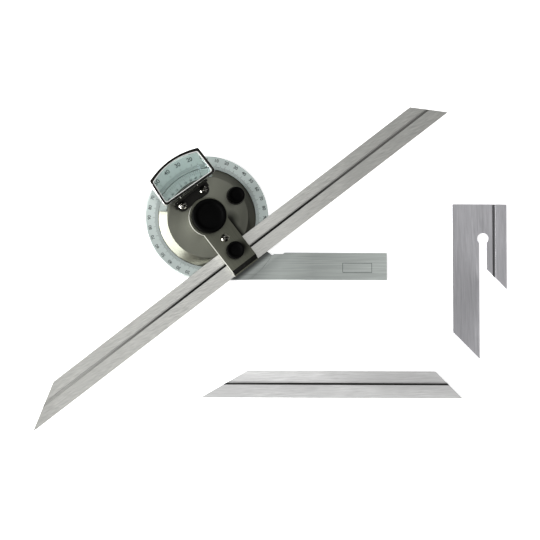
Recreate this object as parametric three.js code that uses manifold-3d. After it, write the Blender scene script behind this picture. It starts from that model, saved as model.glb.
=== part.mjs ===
// A universal bevel protractor with a magnifier, its spare short blade and its acute-angle attachment.
// Sizes are in millimetres and +Z is up. The origin lies on the dial's axis, on the back face.
// The stock points along +X, and the tool lies on its back.
import * as THREE from 'three';
import { mergeVertices } from 'three/addons/utils/BufferGeometryUtils.js';
import Module from 'manifold-3d';

const wasm = await Module();
wasm.setup();

// Clearances
const gap = 0.3; // between a piece and the one that it turns in, slides on or is seated against
const edgeMargin = 0.1; // how far the dial plate stands out past the scale ring
const overrun = 1; // how far a cutting solid reaches past the face that it cuts

// How many flats stand for a round surface
const dialSides = 72;
const knobSides = 36;
const shaftSides = 24;
const screwSides = 12;

// Angles, in degrees
const bladeAngle = 37.63; // from the stock's working edge to the long blade
const vernierHalfAngle = 45; // each side of the magnifier's centre line
const magnifierTurn = -2.5; // the magnifier sits a little askew on its bracket

// Gears of the fine adjustment: an internal ring in the dial plate and a pinion in the swivel
const gearModule = 0.8;
const ringTeeth = 62;
const pinionTeeth = 12;
const pressureAngle = 20;
const backlash = 0.16; // taken off each flank of each gear
const addendumShare = 0.62; // of the module, shortened so that the small pinion clears the ring
const dedendumShare = 1.25; // of the module
const gearThickness = 1.8;
const ringGearWall = 1.8; // behind the tooth roots
const flankSteps = 2;

// Dial plate and stock
const dialFloor = 2.2;
const ringSeatHeight = 4.4;
const stockLength = 102.5; // from the dial's axis to the square end
const stockWidth = 15.5;
const stockStep = 1.2; // the stock's face above the scale ring's face
const stockRecessRadius = 42.5; // inside it the stock is cut down to the ring's level
const notchPlace = 37.1; // along the stock, the lowest point of the notch beside the dial
const notchDepth = 1.4;
const notchRun = 1.1;
const ledgeDepth = 0.8;
const ledgeLength = 5;
const neckRun = 7.1; // from the notch back into the dial plate
const neckRise = 5.2;

// Scale ring, held from the back by three screws
const scaleRingWidth = 7.2;
const scaleRingThickness = 1.6;
const scaleRingChamfer = 0.3;
const ringScrewCount = 3;
const ringScrewStart = 100; // degrees, place of the first screw
const ringScrewRadius = 2.1;
const ringScrewShank = 0.9;
const ringScrewReach = 1; // into the scale ring

// Back plate and centre stud
const backPlateRadius = 16;
const backPlateThickness = 1;
const backScrewCount = 4;
const backScrewCircle = 12.4;
const backScrewRadius = 2.1;
const backScrewShank = 0.9;
const countersinkHeight = 0.7;
const studTailRadius = 3;
const studFlangeRadius = 6.5;
const studFlangeThickness = 0.9;
const studRadius = 4;
const studThreadRadius = 2.9;
const studShoulderDrop = 0.6; // the shoulder ends this far below the arm's face
const studThreadReach = 4.9; // above the arm's face

// Swivel disc
const discBevel = 4.5; // width of the conical bevel
const hubRadius = 9.5;
const bladeSeat = 20.2; // from the axis to the flat that the blade is drawn against

// Vernier plate, level with the scale ring
const vernierThickness = 0.8;
const vernierScrewAngle = 30; // each side of the centre line
const vernierScrewRadius = 1.4;
const vernierScrewShank = 0.7;
const vernierScrewReach = 0.4;
const vernierCountersink = 0.4;

// Blades, long and short
const bladeThickness = 2;
const bladeWidth = 15.5;
const longBladeLength = 300;
const longBladeReach = 154; // along the blade, from the dial's axis to the left tip
const shortBladeLength = 150;
const leftCutAngle = 30; // degrees, the slender end
const rightCutAngle = 45;
const grooveInset = 7.5; // from the outer edge to the groove
const grooveWidth = 1.7;
const grooveDepth = 0.8;
const shortBladeX = -3.9; // where the spare blade lies, the left tip of its outer edge
const shortBladeY = -102.1;

// Arm that carries the blade
const armThickness = 4.2;
const armHalfWidth = 8.4;
const armHeadRadius = 11;
const armOverhang = 0.4; // past the blade's outer edge
const armLipWidth = 0.8;
const armLipHeight = 1.2;
const armChamferRun = 2.6;
const armScrewPlace = 15.3; // from the dial's axis
const armScrewRadius = 2.2;
const armScrewShank = 1.2;
const armScrewSink = 0.7; // how deep its head sits in the arm
const armScrewReach = 3; // into the swivel disc
const dowelRadius = 1;
const dowelX = 5.2;
const dowelPlace = 13.5;
const dowelReach = 3.1; // into the arm, and into the disc

// Central lock knob with its insert and washers
const lockKnobRadius = 9.75;
const lockKnobHeight = 6.4;
const lockKnobLift = 0.6; // its underside above the arm's face
const lockKnobRecess = 7.8;
const lockKnobRecessDepth = 2.2;
const lockKnobRoof = 1.5; // left above the insert's bore
const lockDishRadius = 8;
const dishDepth = 0.6;
const knobChamfer = 0.5;
const insertRadius = 5;
const lockWasherRadius = 7.2;
const washerThickness = 0.7;
const lockSpringRadius = 6.6;
const springWasherThickness = 0.4;
const springWasherCone = 0.5; // how much its inner rim stands up

// Fine adjustment
const fineKnobRadius = 4.75;
const fineKnobHeight = 5.2;
const fineDishRadius = 3.6;
const fineDishDepth = 0.4;
const pinionShaftRadius = 1.5;
const fineKnobRoof = 1.2;
const bushRadius = 3.2;
const bushFlangeRadius = 5.2;
const bushFlangeThickness = 1.1;

// Blade lock: a knob on a stud whose cam draws a shoe, and the shoe's lip draws the blade by its groove
const clampInset = 3.9; // from the blade's inner edge to the stud
const clampKnobRadius = 5;
const clampKnobHeight = 5;
const clampKnobRecess = 3.9;
const clampKnobRecessDepth = 1.7;
const clampDishRadius = 3.9;
const clampStudRadius = 2.2;
const clampStudThread = 1.5;
const clampWasherRadius = 3.5;
const camRadius = 1.6;
const camOffset = 0.25;
const shoeHalfWidth = 4.5;
const shoeThickness = 1.2;
const shoeMargin = 1.2; // left beside the cam's slot
const lipWidth = 1;

// Magnifier
const bracketFootThickness = 1.6;
const bracketHalfWidth = 11.6;
const bracketWebPlace = 10.6; // from the dial's axis to the foot's near edge, between the lobes
const bracketInner = 16.4; // from the dial's axis to the upright
const bracketUpright = 1.2; // thickness of the upright
const bracketHeight = 8.8;
const bracketLobeRadius = 3.4;
const bracketScrewX = 7.45;
const bracketScrewPlace = 13.9; // from the dial's axis
const bracketScrewRadius = 2.2;
const bracketScrewShank = 1.2;
const bracketScrewReach = 3;
const screwHeadHeight = 1.3;
const screwDomeRise = 0.4;
const screwSlotWidth = 0.6;
const screwSlotDepth = 0.5;
const framePinX = 6;
const framePinRadius = 0.8;
const framePinDrop = 1.8; // below the upright's top
const frameLift = 5.2; // the frame's underside above the arm's underside
const frameHeight = 6;
const frameWall = 1.3;
const frameLedge = 0.9;
const frameLedgeHeight = 1;
const frameDepth = 16.9; // from the lower edge to the upper corners
const frameMiddle = 0.8; // along the blade from the dial's axis to the frame's middle
const frameBottomHalfWidth = 17.7;
const frameTopHalfWidth = 17;
const frameArcRise = 3.4;
const frameCorner = 1.6;
const frameArcSteps = 12;
const lensEdgeThickness = 1.8;
const lensDomeRise = 2;
const lensDomeRings = 6;

// Acute-angle attachment
const attachmentX = 140.7; // its left edge
const attachmentY = 8.8; // its top edge
const attachmentThickness = 2;
const mainLegWidth = 15.2;
const mainLegLength = 88.3; // to its tip, on the slot's side
const slotWidth = 4.3;
const keyholeRadius = 3.2;
const keyholePlace = 19.6; // below the top edge
const shortLegWidth = 11.5;
const shortLegLength = 48.7; // on its outer side
const attachmentCutAngle = 45;
const attachmentGrooveInset = 6.3; // from the right edge to the groove

// Levels, each from the one below it
const scaleRingTop = ringSeatHeight + scaleRingThickness;
const stockTop = scaleRingTop + stockStep;
const bladeBottom = stockTop + gap;
const bladeTop = bladeBottom + bladeThickness;
const discTop = bladeTop;
const armBottom = discTop + gap;
const armTop = armBottom + armThickness;
const gearTop = dialFloor + gearThickness;
const hubBottom = dialFloor + gap;
const discBottom = gearTop + gap;

// Radii and places worked out from the driving dimensions
const ringPitchRadius = gearModule * ringTeeth / 2;
const pinionPitchRadius = gearModule * pinionTeeth / 2;
const centreDistance = ringPitchRadius - pinionPitchRadius;
const ringGearRadius = ringPitchRadius + gearModule * dedendumShare + ringGearWall;
const dialBore = ringGearRadius + gap;
const discRadius = dialBore - gap;
const discFlatRadius = discRadius - discBevel;
const scaleRingRadius = dialBore + scaleRingWidth;
const dialRadius = scaleRingRadius + edgeMargin;
const ringScrewCircle = dialBore + scaleRingWidth / 2;
const bladeInner = bladeSeat + gap;
const bladeOuter = bladeInner + bladeWidth;
const armEnd = bladeOuter + armOverhang;
const clampPlace = bladeInner + clampInset;
const degree = Math.PI / 180;

// Finishes, as seen in the photograph
function finish(color, roughness, metalness) {
  return new THREE.MeshStandardMaterial({ color, roughness, metalness });
}
const satinChrome = finish(0xb9c2c6, 0.5, 0.9);
const groundSteel = finish(0xbdbcb4, 0.38, 0.95);
const stockSteel = finish(0x969b9c, 0.42, 0.95);
const turnedSteel = finish(0x7b776d, 0.35, 0.95);
const brightSteel = finish(0xd8d8d4, 0.15, 1);
const blackPlastic = finish(0x0b0b0c, 0.35, 0);
const blackEnamel = finish(0x14150f, 0.3, 0.4);
const brass = finish(0xb08d4a, 0.3, 1);
const glass = new THREE.MeshStandardMaterial({
  color: 0xa9b8b1, roughness: 0.05, metalness: 0, transparent: true, opacity: 0.4,
});

// A closed geometry as a solid that can be cut and joined.
function solidOf(geometry) {
  const bare = geometry.index ? geometry.toNonIndexed() : geometry.clone();
  bare.deleteAttribute('normal');
  bare.deleteAttribute('uv');
  const merged = mergeVertices(bare);
  const vertProperties = merged.attributes.position.array;
  const triVerts = new Uint32Array(merged.index.array);
  return new wasm.Manifold(new wasm.Mesh({ numProp: 3, vertProperties, triVerts }));
}

// A solid as a named mesh.
function piece(name, solid, material) {
  const { vertProperties, triVerts } = solid.getMesh();
  const geometry = new THREE.BufferGeometry();
  geometry.setAttribute('position', new THREE.BufferAttribute(vertProperties, 3));
  geometry.setIndex(new THREE.BufferAttribute(triVerts, 1));
  geometry.computeVertexNormals();
  const mesh = new THREE.Mesh(geometry, material);
  mesh.name = name;
  return mesh;
}

function cut(solid, ...tools) {
  return tools.reduce((left, tool) => left.subtract(tool), solid);
}

function join(solid, ...others) {
  return others.reduce((sum, other) => sum.add(other), solid);
}

// A solid of revolution about a vertical axis at (x, y). Its outline is a list of [radius, height]
// that runs up the outside, from the axis to the axis, or closes on itself.
function turned(outline, sides, x = 0, y = 0) {
  const points = outline.map(([radius, height]) => new THREE.Vector2(radius, height));
  const geometry = new THREE.LatheGeometry(points, sides);
  geometry.rotateX(Math.PI / 2);
  geometry.translate(x, y, 0);
  return solidOf(geometry);
}

function disc(radius, low, high, sides, x = 0, y = 0) {
  return turned([[0, low], [radius, low], [radius, high], [0, high]], sides, x, y);
}

function collar(inner, outer, low, high, sides, x = 0, y = 0) {
  return turned([[inner, low], [outer, low], [outer, high], [inner, high], [inner, low]], sides, x, y);
}

function polygon(points) {
  return new THREE.Shape(points.map(([x, y]) => new THREE.Vector2(x, y)));
}

// A flat outline made a plate between two heights.
function plate(outline, low, high) {
  const geometry = new THREE.ExtrudeGeometry(outline, { depth: high - low, bevelEnabled: false });
  geometry.translate(0, 0, low);
  return solidOf(geometry);
}

// An outline of [y, z] points carried along X.
function beam(points, from, to) {
  const geometry = new THREE.ExtrudeGeometry(polygon(points), { depth: to - from, bevelEnabled: false });
  geometry.translate(0, 0, from);
  const alongX = new THREE.Matrix4().makeBasis(
    new THREE.Vector3(0, 1, 0), new THREE.Vector3(0, 0, 1), new THREE.Vector3(1, 0, 0));
  geometry.applyMatrix4(alongX);
  return solidOf(geometry);
}

function block(x0, x1, y0, y1, z0, z1) {
  const geometry = new THREE.BoxGeometry(x1 - x0, y1 - y0, z1 - z0);
  geometry.translate((x0 + x1) / 2, (y0 + y1) / 2, (z0 + z1) / 2);
  return solidOf(geometry);
}

// The place on a circle at an angle in degrees.
function onCircle(radius, angle) {
  return [radius * Math.cos(angle * degree), radius * Math.sin(angle * degree)];
}

// A screw with a slotted dome head that stands on z = 0, its shank pointing down.
function domeScrew(radius, shank, length) {
  const rim = screwHeadHeight - screwDomeRise;
  const body = turned([
    [0, -length], [shank, -length], [shank, 0], [radius, 0],
    [radius, rim], [radius / 2, screwHeadHeight - screwDomeRise / 4], [0, screwHeadHeight],
  ], screwSides);
  const slotFloor = screwHeadHeight - screwSlotDepth;
  return cut(body, block(
    -radius - overrun, radius + overrun, -screwSlotWidth / 2, screwSlotWidth / 2,
    slotFloor, screwHeadHeight + overrun));
}

// A countersunk screw whose slotted head is level with z = 0, its shank pointing down.
function flatScrew(radius, shank, headHeight, length) {
  const body = turned([
    [0, -length], [shank, -length], [shank, -headHeight], [radius, 0], [0, 0],
  ], screwSides);
  return cut(body, block(
    -radius - overrun, radius + overrun, -screwSlotWidth / 2, screwSlotWidth / 2,
    -headHeight / 2, overrun));
}

// The hole for a countersunk screw that enters a plate from below at height z.
function countersink(radius, shank, headHeight, z, top, x, y) {
  return turned([
    [0, z - overrun], [radius + gap, z - overrun], [radius + gap, z],
    [shank + gap, z + headHeight], [shank + gap, top], [0, top],
  ], screwSides, x, y);
}

// The roll angle of an involute where its pressure angle is phi.
function involute(phi) {
  return Math.tan(phi) - phi;
}

// Half the angle that an involute tooth takes up at a radius.
function toothHalfAngle(teeth, radius) {
  const pitchRadius = gearModule * teeth / 2;
  const baseRadius = pitchRadius * Math.cos(pressureAngle * degree);
  const phi = Math.acos(Math.min(1, baseRadius / radius));
  return Math.PI / (2 * teeth) + involute(pressureAngle * degree) - involute(phi);
}

// The outline of a gear with a tooth centred on the angle turn. A positive growth makes each flank
// stand out by that much, as for the hole of an internal gear, and a negative one thins the teeth.
function gearOutline(teeth, rootRadius, tipRadius, growth, turn) {
  const points = [];
  const baseRadius = gearModule * teeth / 2 * Math.cos(pressureAngle * degree);
  const flankStart = Math.max(rootRadius, baseRadius);
  for (let tooth = 0; tooth < teeth; tooth += 1) {
    const middle = turn + 2 * Math.PI * tooth / teeth;
    const flank = [];
    for (let step = 0; step <= flankSteps; step += 1) {
      const radius = flankStart + (tipRadius - flankStart) * step / flankSteps;
      flank.push([radius, toothHalfAngle(teeth, radius) + growth / radius]);
    }
    if (rootRadius < flankStart) {
      flank.unshift([rootRadius, flank[0][1]]);
    }
    flank.forEach(([radius, half]) => points.push([
      radius * Math.cos(middle - half), radius * Math.sin(middle - half)]));
    flank.reverse().forEach(([radius, half]) => points.push([
      radius * Math.cos(middle + half), radius * Math.sin(middle + half)]));
  }
  return polygon(points);
}

const stockParts = new THREE.Group();

// The dial plate and the stock are one steel body. The stock's face is cut down round the dial.
function stockBody() {
  const top = -dialRadius + stockWidth;
  const notch = top - notchDepth;
  const ledge = top - ledgeDepth;
  const ledgeStart = notchPlace + notchRun;
  const ledgeEnd = ledgeStart + ledgeLength;
  const stock = plate(polygon([
    [0, -dialRadius],
    [stockLength, -dialRadius],
    [stockLength, top],
    [ledgeEnd + ledgeDepth, top],
    [ledgeEnd, ledge],
    [ledgeStart, ledge],
    [notchPlace, notch],
    [notchPlace - neckRun, notch + neckRise],
    [0, notch + neckRise],
  ]), 0, stockTop);
  const recess = disc(stockRecessRadius, scaleRingTop, stockTop + overrun, dialSides);
  const seat = disc(dialRadius, ringSeatHeight, stockTop + overrun, dialSides);
  const bore = disc(dialBore, dialFloor, stockTop, dialSides);
  const flangeHole = disc(studFlangeRadius + gap, 0, dialFloor + overrun, knobSides);
  const plateSeat = disc(backPlateRadius + gap, -overrun, backPlateThickness, knobSides);
  const dial = disc(dialRadius, 0, ringSeatHeight, dialSides);
  const holes = [];
  for (let index = 0; index < ringScrewCount; index += 1) {
    const [x, y] = onCircle(ringScrewCircle, ringScrewStart + 360 * index / ringScrewCount);
    holes.push(countersink(
      ringScrewRadius, ringScrewShank, countersinkHeight, 0, ringSeatHeight + overrun, x, y));
  }
  for (let index = 0; index < backScrewCount; index += 1) {
    const [x, y] = onCircle(backScrewCircle, 360 * (index + 1 / 2) / backScrewCount);
    holes.push(disc(backScrewShank + gap, 0, dialFloor + overrun, screwSides, x, y));
  }
  return cut(join(cut(stock, recess, seat), dial), bore, flangeHole, plateSeat, ...holes);
}
stockParts.add(piece('stock_body', stockBody(), stockSteel));

// The scale ring lies on the dial plate's rim, with blind holes for its screws.
function scaleRing() {
  const ring = turned([
    [dialBore, ringSeatHeight],
    [scaleRingRadius, ringSeatHeight],
    [scaleRingRadius, scaleRingTop - scaleRingChamfer],
    [scaleRingRadius - scaleRingChamfer, scaleRingTop],
    [dialBore, scaleRingTop],
    [dialBore, ringSeatHeight],
  ], dialSides);
  const holes = [];
  for (let index = 0; index < ringScrewCount; index += 1) {
    const [x, y] = onCircle(ringScrewCircle, ringScrewStart + 360 * index / ringScrewCount);
    holes.push(disc(
      ringScrewShank + gap, ringSeatHeight - overrun, ringSeatHeight + ringScrewReach + edgeMargin,
      screwSides, x, y));
  }
  return cut(ring, ...holes);
}
stockParts.add(piece('scale_ring', scaleRing(), satinChrome));

for (let index = 0; index < ringScrewCount; index += 1) {
  const [x, y] = onCircle(ringScrewCircle, ringScrewStart + 360 * index / ringScrewCount);
  const screw = piece(
    `ring_screw_${index + 1}`,
    flatScrew(ringScrewRadius, ringScrewShank, countersinkHeight, ringSeatHeight + ringScrewReach),
    brightSteel);
  screw.position.set(x, y, 0);
  screw.rotation.x = Math.PI;
  stockParts.add(screw);
}

// The ring gear is pressed in under the swivel disc, a tooth space turned to the pinion.
function ringGear() {
  const outer = disc(ringGearRadius, dialFloor, gearTop, dialSides);
  const rootRadius = ringPitchRadius + gearModule * dedendumShare;
  const tipRadius = ringPitchRadius - gearModule * addendumShare;
  const teeth = gearOutline(ringTeeth, tipRadius, rootRadius, backlash, bladeAngle * degree);
  return cut(outer, plate(teeth, dialFloor - overrun, gearTop + overrun));
}
stockParts.add(piece('ring_gear', ringGear(), brass));

// The back plate closes the dial from behind and carries the centre stud.
function backPlate() {
  const body = disc(backPlateRadius, 0, backPlateThickness, knobSides);
  const tailHole = disc(studTailRadius + gap, -overrun, backPlateThickness + overrun, shaftSides);
  const holes = [];
  for (let index = 0; index < backScrewCount; index += 1) {
    const [x, y] = onCircle(backScrewCircle, 360 * (index + 1 / 2) / backScrewCount);
    holes.push(countersink(
      backScrewRadius, backScrewShank, countersinkHeight, 0, backPlateThickness + overrun, x, y));
  }
  return cut(body, tailHole, ...holes);
}
stockParts.add(piece('back_plate', backPlate(), stockSteel));

for (let index = 0; index < backScrewCount; index += 1) {
  const [x, y] = onCircle(backScrewCircle, 360 * (index + 1 / 2) / backScrewCount);
  const screw = piece(
    `back_screw_${index + 1}`,
    flatScrew(backScrewRadius, backScrewShank, countersinkHeight, dialFloor - gap),
    brightSteel);
  screw.position.set(x, y, 0);
  screw.rotation.x = Math.PI;
  stockParts.add(screw);
}

const flangeTop = backPlateThickness + studFlangeThickness;
const shoulderTop = armTop - studShoulderDrop;
const studTop = armTop + studThreadReach;
stockParts.add(piece('centre_stud', turned([
  [0, 0],
  [studTailRadius, 0],
  [studTailRadius, backPlateThickness],
  [studFlangeRadius, backPlateThickness],
  [studFlangeRadius, flangeTop],
  [studRadius, flangeTop],
  [studRadius, shoulderTop],
  [studThreadRadius, shoulderTop],
  [studThreadRadius, studTop],
  [0, studTop],
], shaftSides), brightSteel));

// Everything below swings with the blade. In this group +X runs along the blade, +Y to the magnifier.
const swivelParts = new THREE.Group();
swivelParts.rotation.z = bladeAngle * degree;

const bracketScrewPlaces = [-1, 1].map((side) => [side * bracketScrewX, bracketScrewPlace]);
const dowelPlaces = [-1, 1].map((side) => [side * dowelX, -dowelPlace]);
const vernierScrewPlaces = [-1, 1].map((side) => onCircle(
  discRadius - (discBevel - gap) / 2, 90 + side * vernierScrewAngle));

// The swivel disc has a conical bevel, a flat for the blade and a ledge for the vernier plate.
function swivelDisc() {
  const body = turned([
    [studRadius + gap, hubBottom],
    [hubRadius, hubBottom],
    [hubRadius, discBottom],
    [discRadius, discBottom],
    [discRadius, scaleRingTop],
    [discFlatRadius, discTop],
    [studRadius + gap, discTop],
    [studRadius + gap, hubBottom],
  ], dialSides);
  const far = discRadius + overrun;
  const bladeRoom = block(-far, far, -far, -bladeSeat, stockTop, discTop + overrun);
  const ledge = scaleRingTop - vernierThickness - gap;
  const vernierRoom = plate(
    sector(discFlatRadius, far, vernierHalfAngle), ledge, discTop + overrun);
  const bushHole = disc(bushRadius + gap, 0, discTop + overrun, shaftSides, centreDistance, 0);
  const screwHoles = [[0, -armScrewPlace, armScrewShank], ...bracketScrewPlaces.map(
    ([x, y]) => [x, y, bracketScrewShank])].map(([x, y, shank]) => disc(
    shank + gap, discTop - armScrewReach - gap, discTop + overrun, screwSides, x, y));
  const dowelHoles = dowelPlaces.map(([x, y]) => disc(
    dowelRadius + gap, discTop - dowelReach, discTop + overrun, screwSides, x, y));
  const vernierHoles = vernierScrewPlaces.map(([x, y]) => countersink(
    vernierScrewRadius, vernierScrewShank, vernierCountersink, discBottom, discTop, x, y));
  return cut(
    body, bladeRoom, vernierRoom, bushHole, ...screwHoles, ...dowelHoles, ...vernierHoles);
}

// A ring sector about +Y between two radii, to an angle on each side.
function sector(inner, outer, halfAngle) {
  const shape = new THREE.Shape();
  const start = (90 - halfAngle) * degree;
  const end = (90 + halfAngle) * degree;
  shape.absarc(0, 0, outer, start, end, false);
  shape.absarc(0, 0, inner, end, start, true);
  return shape;
}
swivelParts.add(piece('swivel_disc', swivelDisc(), turnedSteel));

// The vernier plate is level with the scale ring and held from below.
function vernierPlate() {
  const inset = gap / discRadius / degree;
  const low = scaleRingTop - vernierThickness;
  const body = plate(sector(discFlatRadius + gap, discRadius, vernierHalfAngle - inset), low, scaleRingTop);
  const holes = vernierScrewPlaces.map(([x, y]) => disc(
    vernierScrewShank + gap, low - overrun, low + vernierScrewReach + edgeMargin, screwSides, x, y));
  return cut(body, ...holes);
}
swivelParts.add(piece('vernier_plate', vernierPlate(), satinChrome));

vernierScrewPlaces.forEach(([x, y], index) => {
  const length = scaleRingTop - vernierThickness - discBottom + vernierScrewReach;
  const screw = piece(
    `vernier_screw_${index + 1}`,
    flatScrew(vernierScrewRadius, vernierScrewShank, vernierCountersink, length), brightSteel);
  screw.position.set(x, y, discBottom);
  screw.rotation.x = Math.PI;
  swivelParts.add(screw);
});

// The clamp shoe's pocket under the arm leaves the shoe its travel.
const camSlotHalfWidth = camRadius + gap;
const camSlotHalfLength = camRadius + camOffset + gap;
const shoeInner = clampPlace - camOffset - camSlotHalfWidth - shoeMargin;
const lipInner = bladeOuter - grooveInset - grooveWidth + gap;
const shoeOuter = lipInner + lipWidth;
const shoeBottom = armBottom;
const shoeTop = shoeBottom + shoeThickness;
const pocketTop = shoeTop + gap;

// The arm is round about the stud and runs straight out over the blade, where its end is chamfered.
function arm() {
  const head = disc(armHeadRadius, armBottom, armTop, knobSides);
  const shank = block(-armHalfWidth, armHalfWidth, -armEnd, 0, armBottom, armTop);
  const lipTop = armBottom + armLipHeight;
  const chamferEnd = -armEnd + armLipWidth;
  const endCut = beam([
    [-armEnd - overrun, lipTop],
    [chamferEnd, lipTop],
    [chamferEnd + armChamferRun, armTop],
    [chamferEnd + armChamferRun, armTop + overrun],
    [-armEnd - overrun, armTop + overrun],
  ], -armHalfWidth - overrun, armHalfWidth + overrun);
  const bore = disc(studRadius + gap, 0, armTop + overrun, shaftSides);
  const screwHole = turned([
    [0, 0],
    [armScrewShank + gap, 0],
    [armScrewShank + gap, armTop - armScrewSink - gap],
    [armScrewRadius + gap, armTop - armScrewSink - gap],
    [armScrewRadius + gap, armTop + overrun],
    [0, armTop + overrun],
  ], screwSides, 0, -armScrewPlace);
  const dowelHoles = dowelPlaces.map(([x, y]) => disc(
    dowelRadius + gap, 0, armBottom + dowelReach + gap, screwSides, x, y));
  const pocket = block(
    -shoeHalfWidth - gap, shoeHalfWidth + gap,
    -shoeOuter - gap - camOffset, -shoeInner + gap, 0, pocketTop);
  const studHole = disc(clampStudRadius + gap, 0, armTop + overrun, shaftSides, 0, -clampPlace);
  return cut(join(head, shank), endCut, bore, screwHole, ...dowelHoles, pocket, studHole);
}
swivelParts.add(piece('arm', arm(), turnedSteel));

const armScrewLength = armTop - armScrewSink - discTop + armScrewReach - gap;
const armScrew = piece(
  'arm_screw', domeScrew(armScrewRadius, armScrewShank, armScrewLength), brightSteel);
armScrew.position.set(0, -armScrewPlace, armTop - armScrewSink);
armScrew.rotation.z = Math.PI / 2;
swivelParts.add(armScrew);

dowelPlaces.forEach(([x, y], index) => {
  swivelParts.add(piece(
    `arm_dowel_${index + 1}`,
    disc(dowelRadius, discTop - dowelReach + gap, armBottom + dowelReach, screwSides, x, y),
    brightSteel));
});

// The pinion turns on its shaft in a bush through the disc, and its knob stands on top.
const bushTop = armBottom + bushFlangeThickness;
const fineKnobBottom = bushTop + gap;
const fineKnobTop = fineKnobBottom + fineKnobHeight;
const pinionBore = pinionShaftRadius + gap;

swivelParts.add(piece('pinion_bush', turned([
  [pinionBore, discBottom],
  [bushRadius, discBottom],
  [bushRadius, armBottom],
  [bushFlangeRadius, armBottom],
  [bushFlangeRadius, bushTop],
  [pinionBore, bushTop],
  [pinionBore, discBottom],
], shaftSides, centreDistance), brightSteel));

function pinion() {
  const rootRadius = pinionPitchRadius - gearModule * dedendumShare;
  const tipRadius = pinionPitchRadius + gearModule * addendumShare;
  const body = plate(gearOutline(pinionTeeth, rootRadius, tipRadius, -backlash, 0), hubBottom, gearTop);
  return cut(body, disc(pinionBore, 0, discTop, screwSides));
}
const pinionMesh = piece('pinion', pinion(), brass);
pinionMesh.position.x = centreDistance;
swivelParts.add(pinionMesh);

swivelParts.add(piece('pinion_shaft', disc(
  pinionShaftRadius, hubBottom, fineKnobTop - fineKnobRoof - gap, screwSides, centreDistance),
brightSteel));

// A knob with a dished top, chamfered rim, recessed underside and blind bore.
function knob(size, x, y) {
  const { radius, bottom, top, recess, recessTop, bore, boreTop, dish, depth } = size;
  return turned([
    [0, boreTop],
    [bore, boreTop],
    [bore, recessTop],
    [recess, recessTop],
    [recess, bottom],
    [radius, bottom],
    [radius, top - knobChamfer],
    [radius - knobChamfer, top],
    [dish, top],
    [dish - depth, top - depth],
    [0, top - depth],
  ], knobSides, x, y);
}

swivelParts.add(piece('fine_knob', knob({
  radius: fineKnobRadius,
  bottom: fineKnobBottom,
  top: fineKnobTop,
  recess: pinionBore + edgeMargin,
  recessTop: fineKnobBottom + knobChamfer,
  bore: pinionBore,
  boreTop: fineKnobTop - fineKnobRoof,
  dish: fineDishRadius,
  depth: fineDishDepth,
}, centreDistance, 0), blackPlastic));

// A spring washer is a shallow cone that stands on its outer rim.
function springWasher(inner, outer, bottom, x, y) {
  return turned([
    [inner, bottom + springWasherCone],
    [outer, bottom],
    [outer, bottom + springWasherThickness],
    [inner, bottom + springWasherCone + springWasherThickness],
    [inner, bottom + springWasherCone],
  ], knobSides, x, y);
}

// The lock knob screws down on the centre stud, over a plain washer and a spring washer.
const washerBottom = armTop + gap;
const washerTop = washerBottom + washerThickness;
const springBottom = washerTop + gap;
const lockKnobBottom = armTop + lockKnobLift;
const lockKnobTop = lockKnobBottom + lockKnobHeight;
const lockRecessTop = lockKnobBottom + lockKnobRecessDepth;
const lockBoreTop = lockKnobTop - lockKnobRoof;
const threadHole = studThreadRadius + gap;
swivelParts.add(piece(
  'lock_washer', collar(threadHole, lockWasherRadius, washerBottom, washerTop, shaftSides), brightSteel));
swivelParts.add(piece(
  'lock_spring_washer', springWasher(threadHole, lockSpringRadius, springBottom), brightSteel));
swivelParts.add(piece(
  'lock_insert', collar(threadHole, insertRadius, lockRecessTop, lockBoreTop - gap, shaftSides), brass));
swivelParts.add(piece('lock_knob', knob({
  radius: lockKnobRadius,
  bottom: lockKnobBottom,
  top: lockKnobTop,
  recess: lockKnobRecess,
  recessTop: lockRecessTop,
  bore: insertRadius + gap,
  boreTop: lockBoreTop,
  dish: lockDishRadius,
  depth: dishDepth,
}), blackPlastic));

// The blade lock: knob, washers, and a stud whose cam turns in the slot of the clamp shoe.
const clampKnobBottom = armTop + lockKnobLift;
const clampKnobTop = clampKnobBottom + clampKnobHeight;
const clampRecessTop = clampKnobBottom + clampKnobRecessDepth;
const clampBoreTop = clampKnobTop - lockKnobRoof;
const clampHole = clampStudThread + gap;
swivelParts.add(piece('clamp_washer', collar(
  clampHole, clampWasherRadius, washerBottom, washerTop, shaftSides, 0, -clampPlace), brightSteel));
swivelParts.add(piece('clamp_spring_washer', springWasher(
  clampHole, clampWasherRadius, springBottom, 0, -clampPlace), brightSteel));
swivelParts.add(piece('clamp_knob', knob({
  radius: clampKnobRadius,
  bottom: clampKnobBottom,
  top: clampKnobTop,
  recess: clampKnobRecess,
  recessTop: clampRecessTop,
  bore: clampHole,
  boreTop: clampBoreTop,
  dish: clampDishRadius,
  depth: dishDepth,
}, 0, -clampPlace), blackPlastic));
const cam = disc(camRadius, shoeBottom + gap, pocketTop, shaftSides, 0, camOffset - clampPlace);
const clampStud = turned([
  [0, pocketTop],
  [clampStudRadius, pocketTop],
  [clampStudRadius, armTop - gap],
  [clampStudThread, armTop - gap],
  [clampStudThread, clampBoreTop - gap],
  [0, clampBoreTop - gap],
], shaftSides, 0, -clampPlace);
swivelParts.add(piece('clamp_stud', join(clampStud, cam), brightSteel));

function clampShoe() {
  const body = block(-shoeHalfWidth, shoeHalfWidth, -shoeOuter, -shoeInner, shoeBottom, shoeTop);
  const lip = block(
    -shoeHalfWidth, shoeHalfWidth, -shoeOuter, -lipInner, bladeTop - grooveDepth + gap, shoeTop);
  const slot = block(
    -camSlotHalfLength, camSlotHalfLength,
    camOffset - clampPlace - camSlotHalfWidth, camOffset - clampPlace + camSlotHalfWidth,
    shoeBottom - overrun, shoeTop + overrun);
  return cut(join(body, lip), slot);
}
swivelParts.add(piece('clamp_shoe', clampShoe(), brightSteel));

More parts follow.
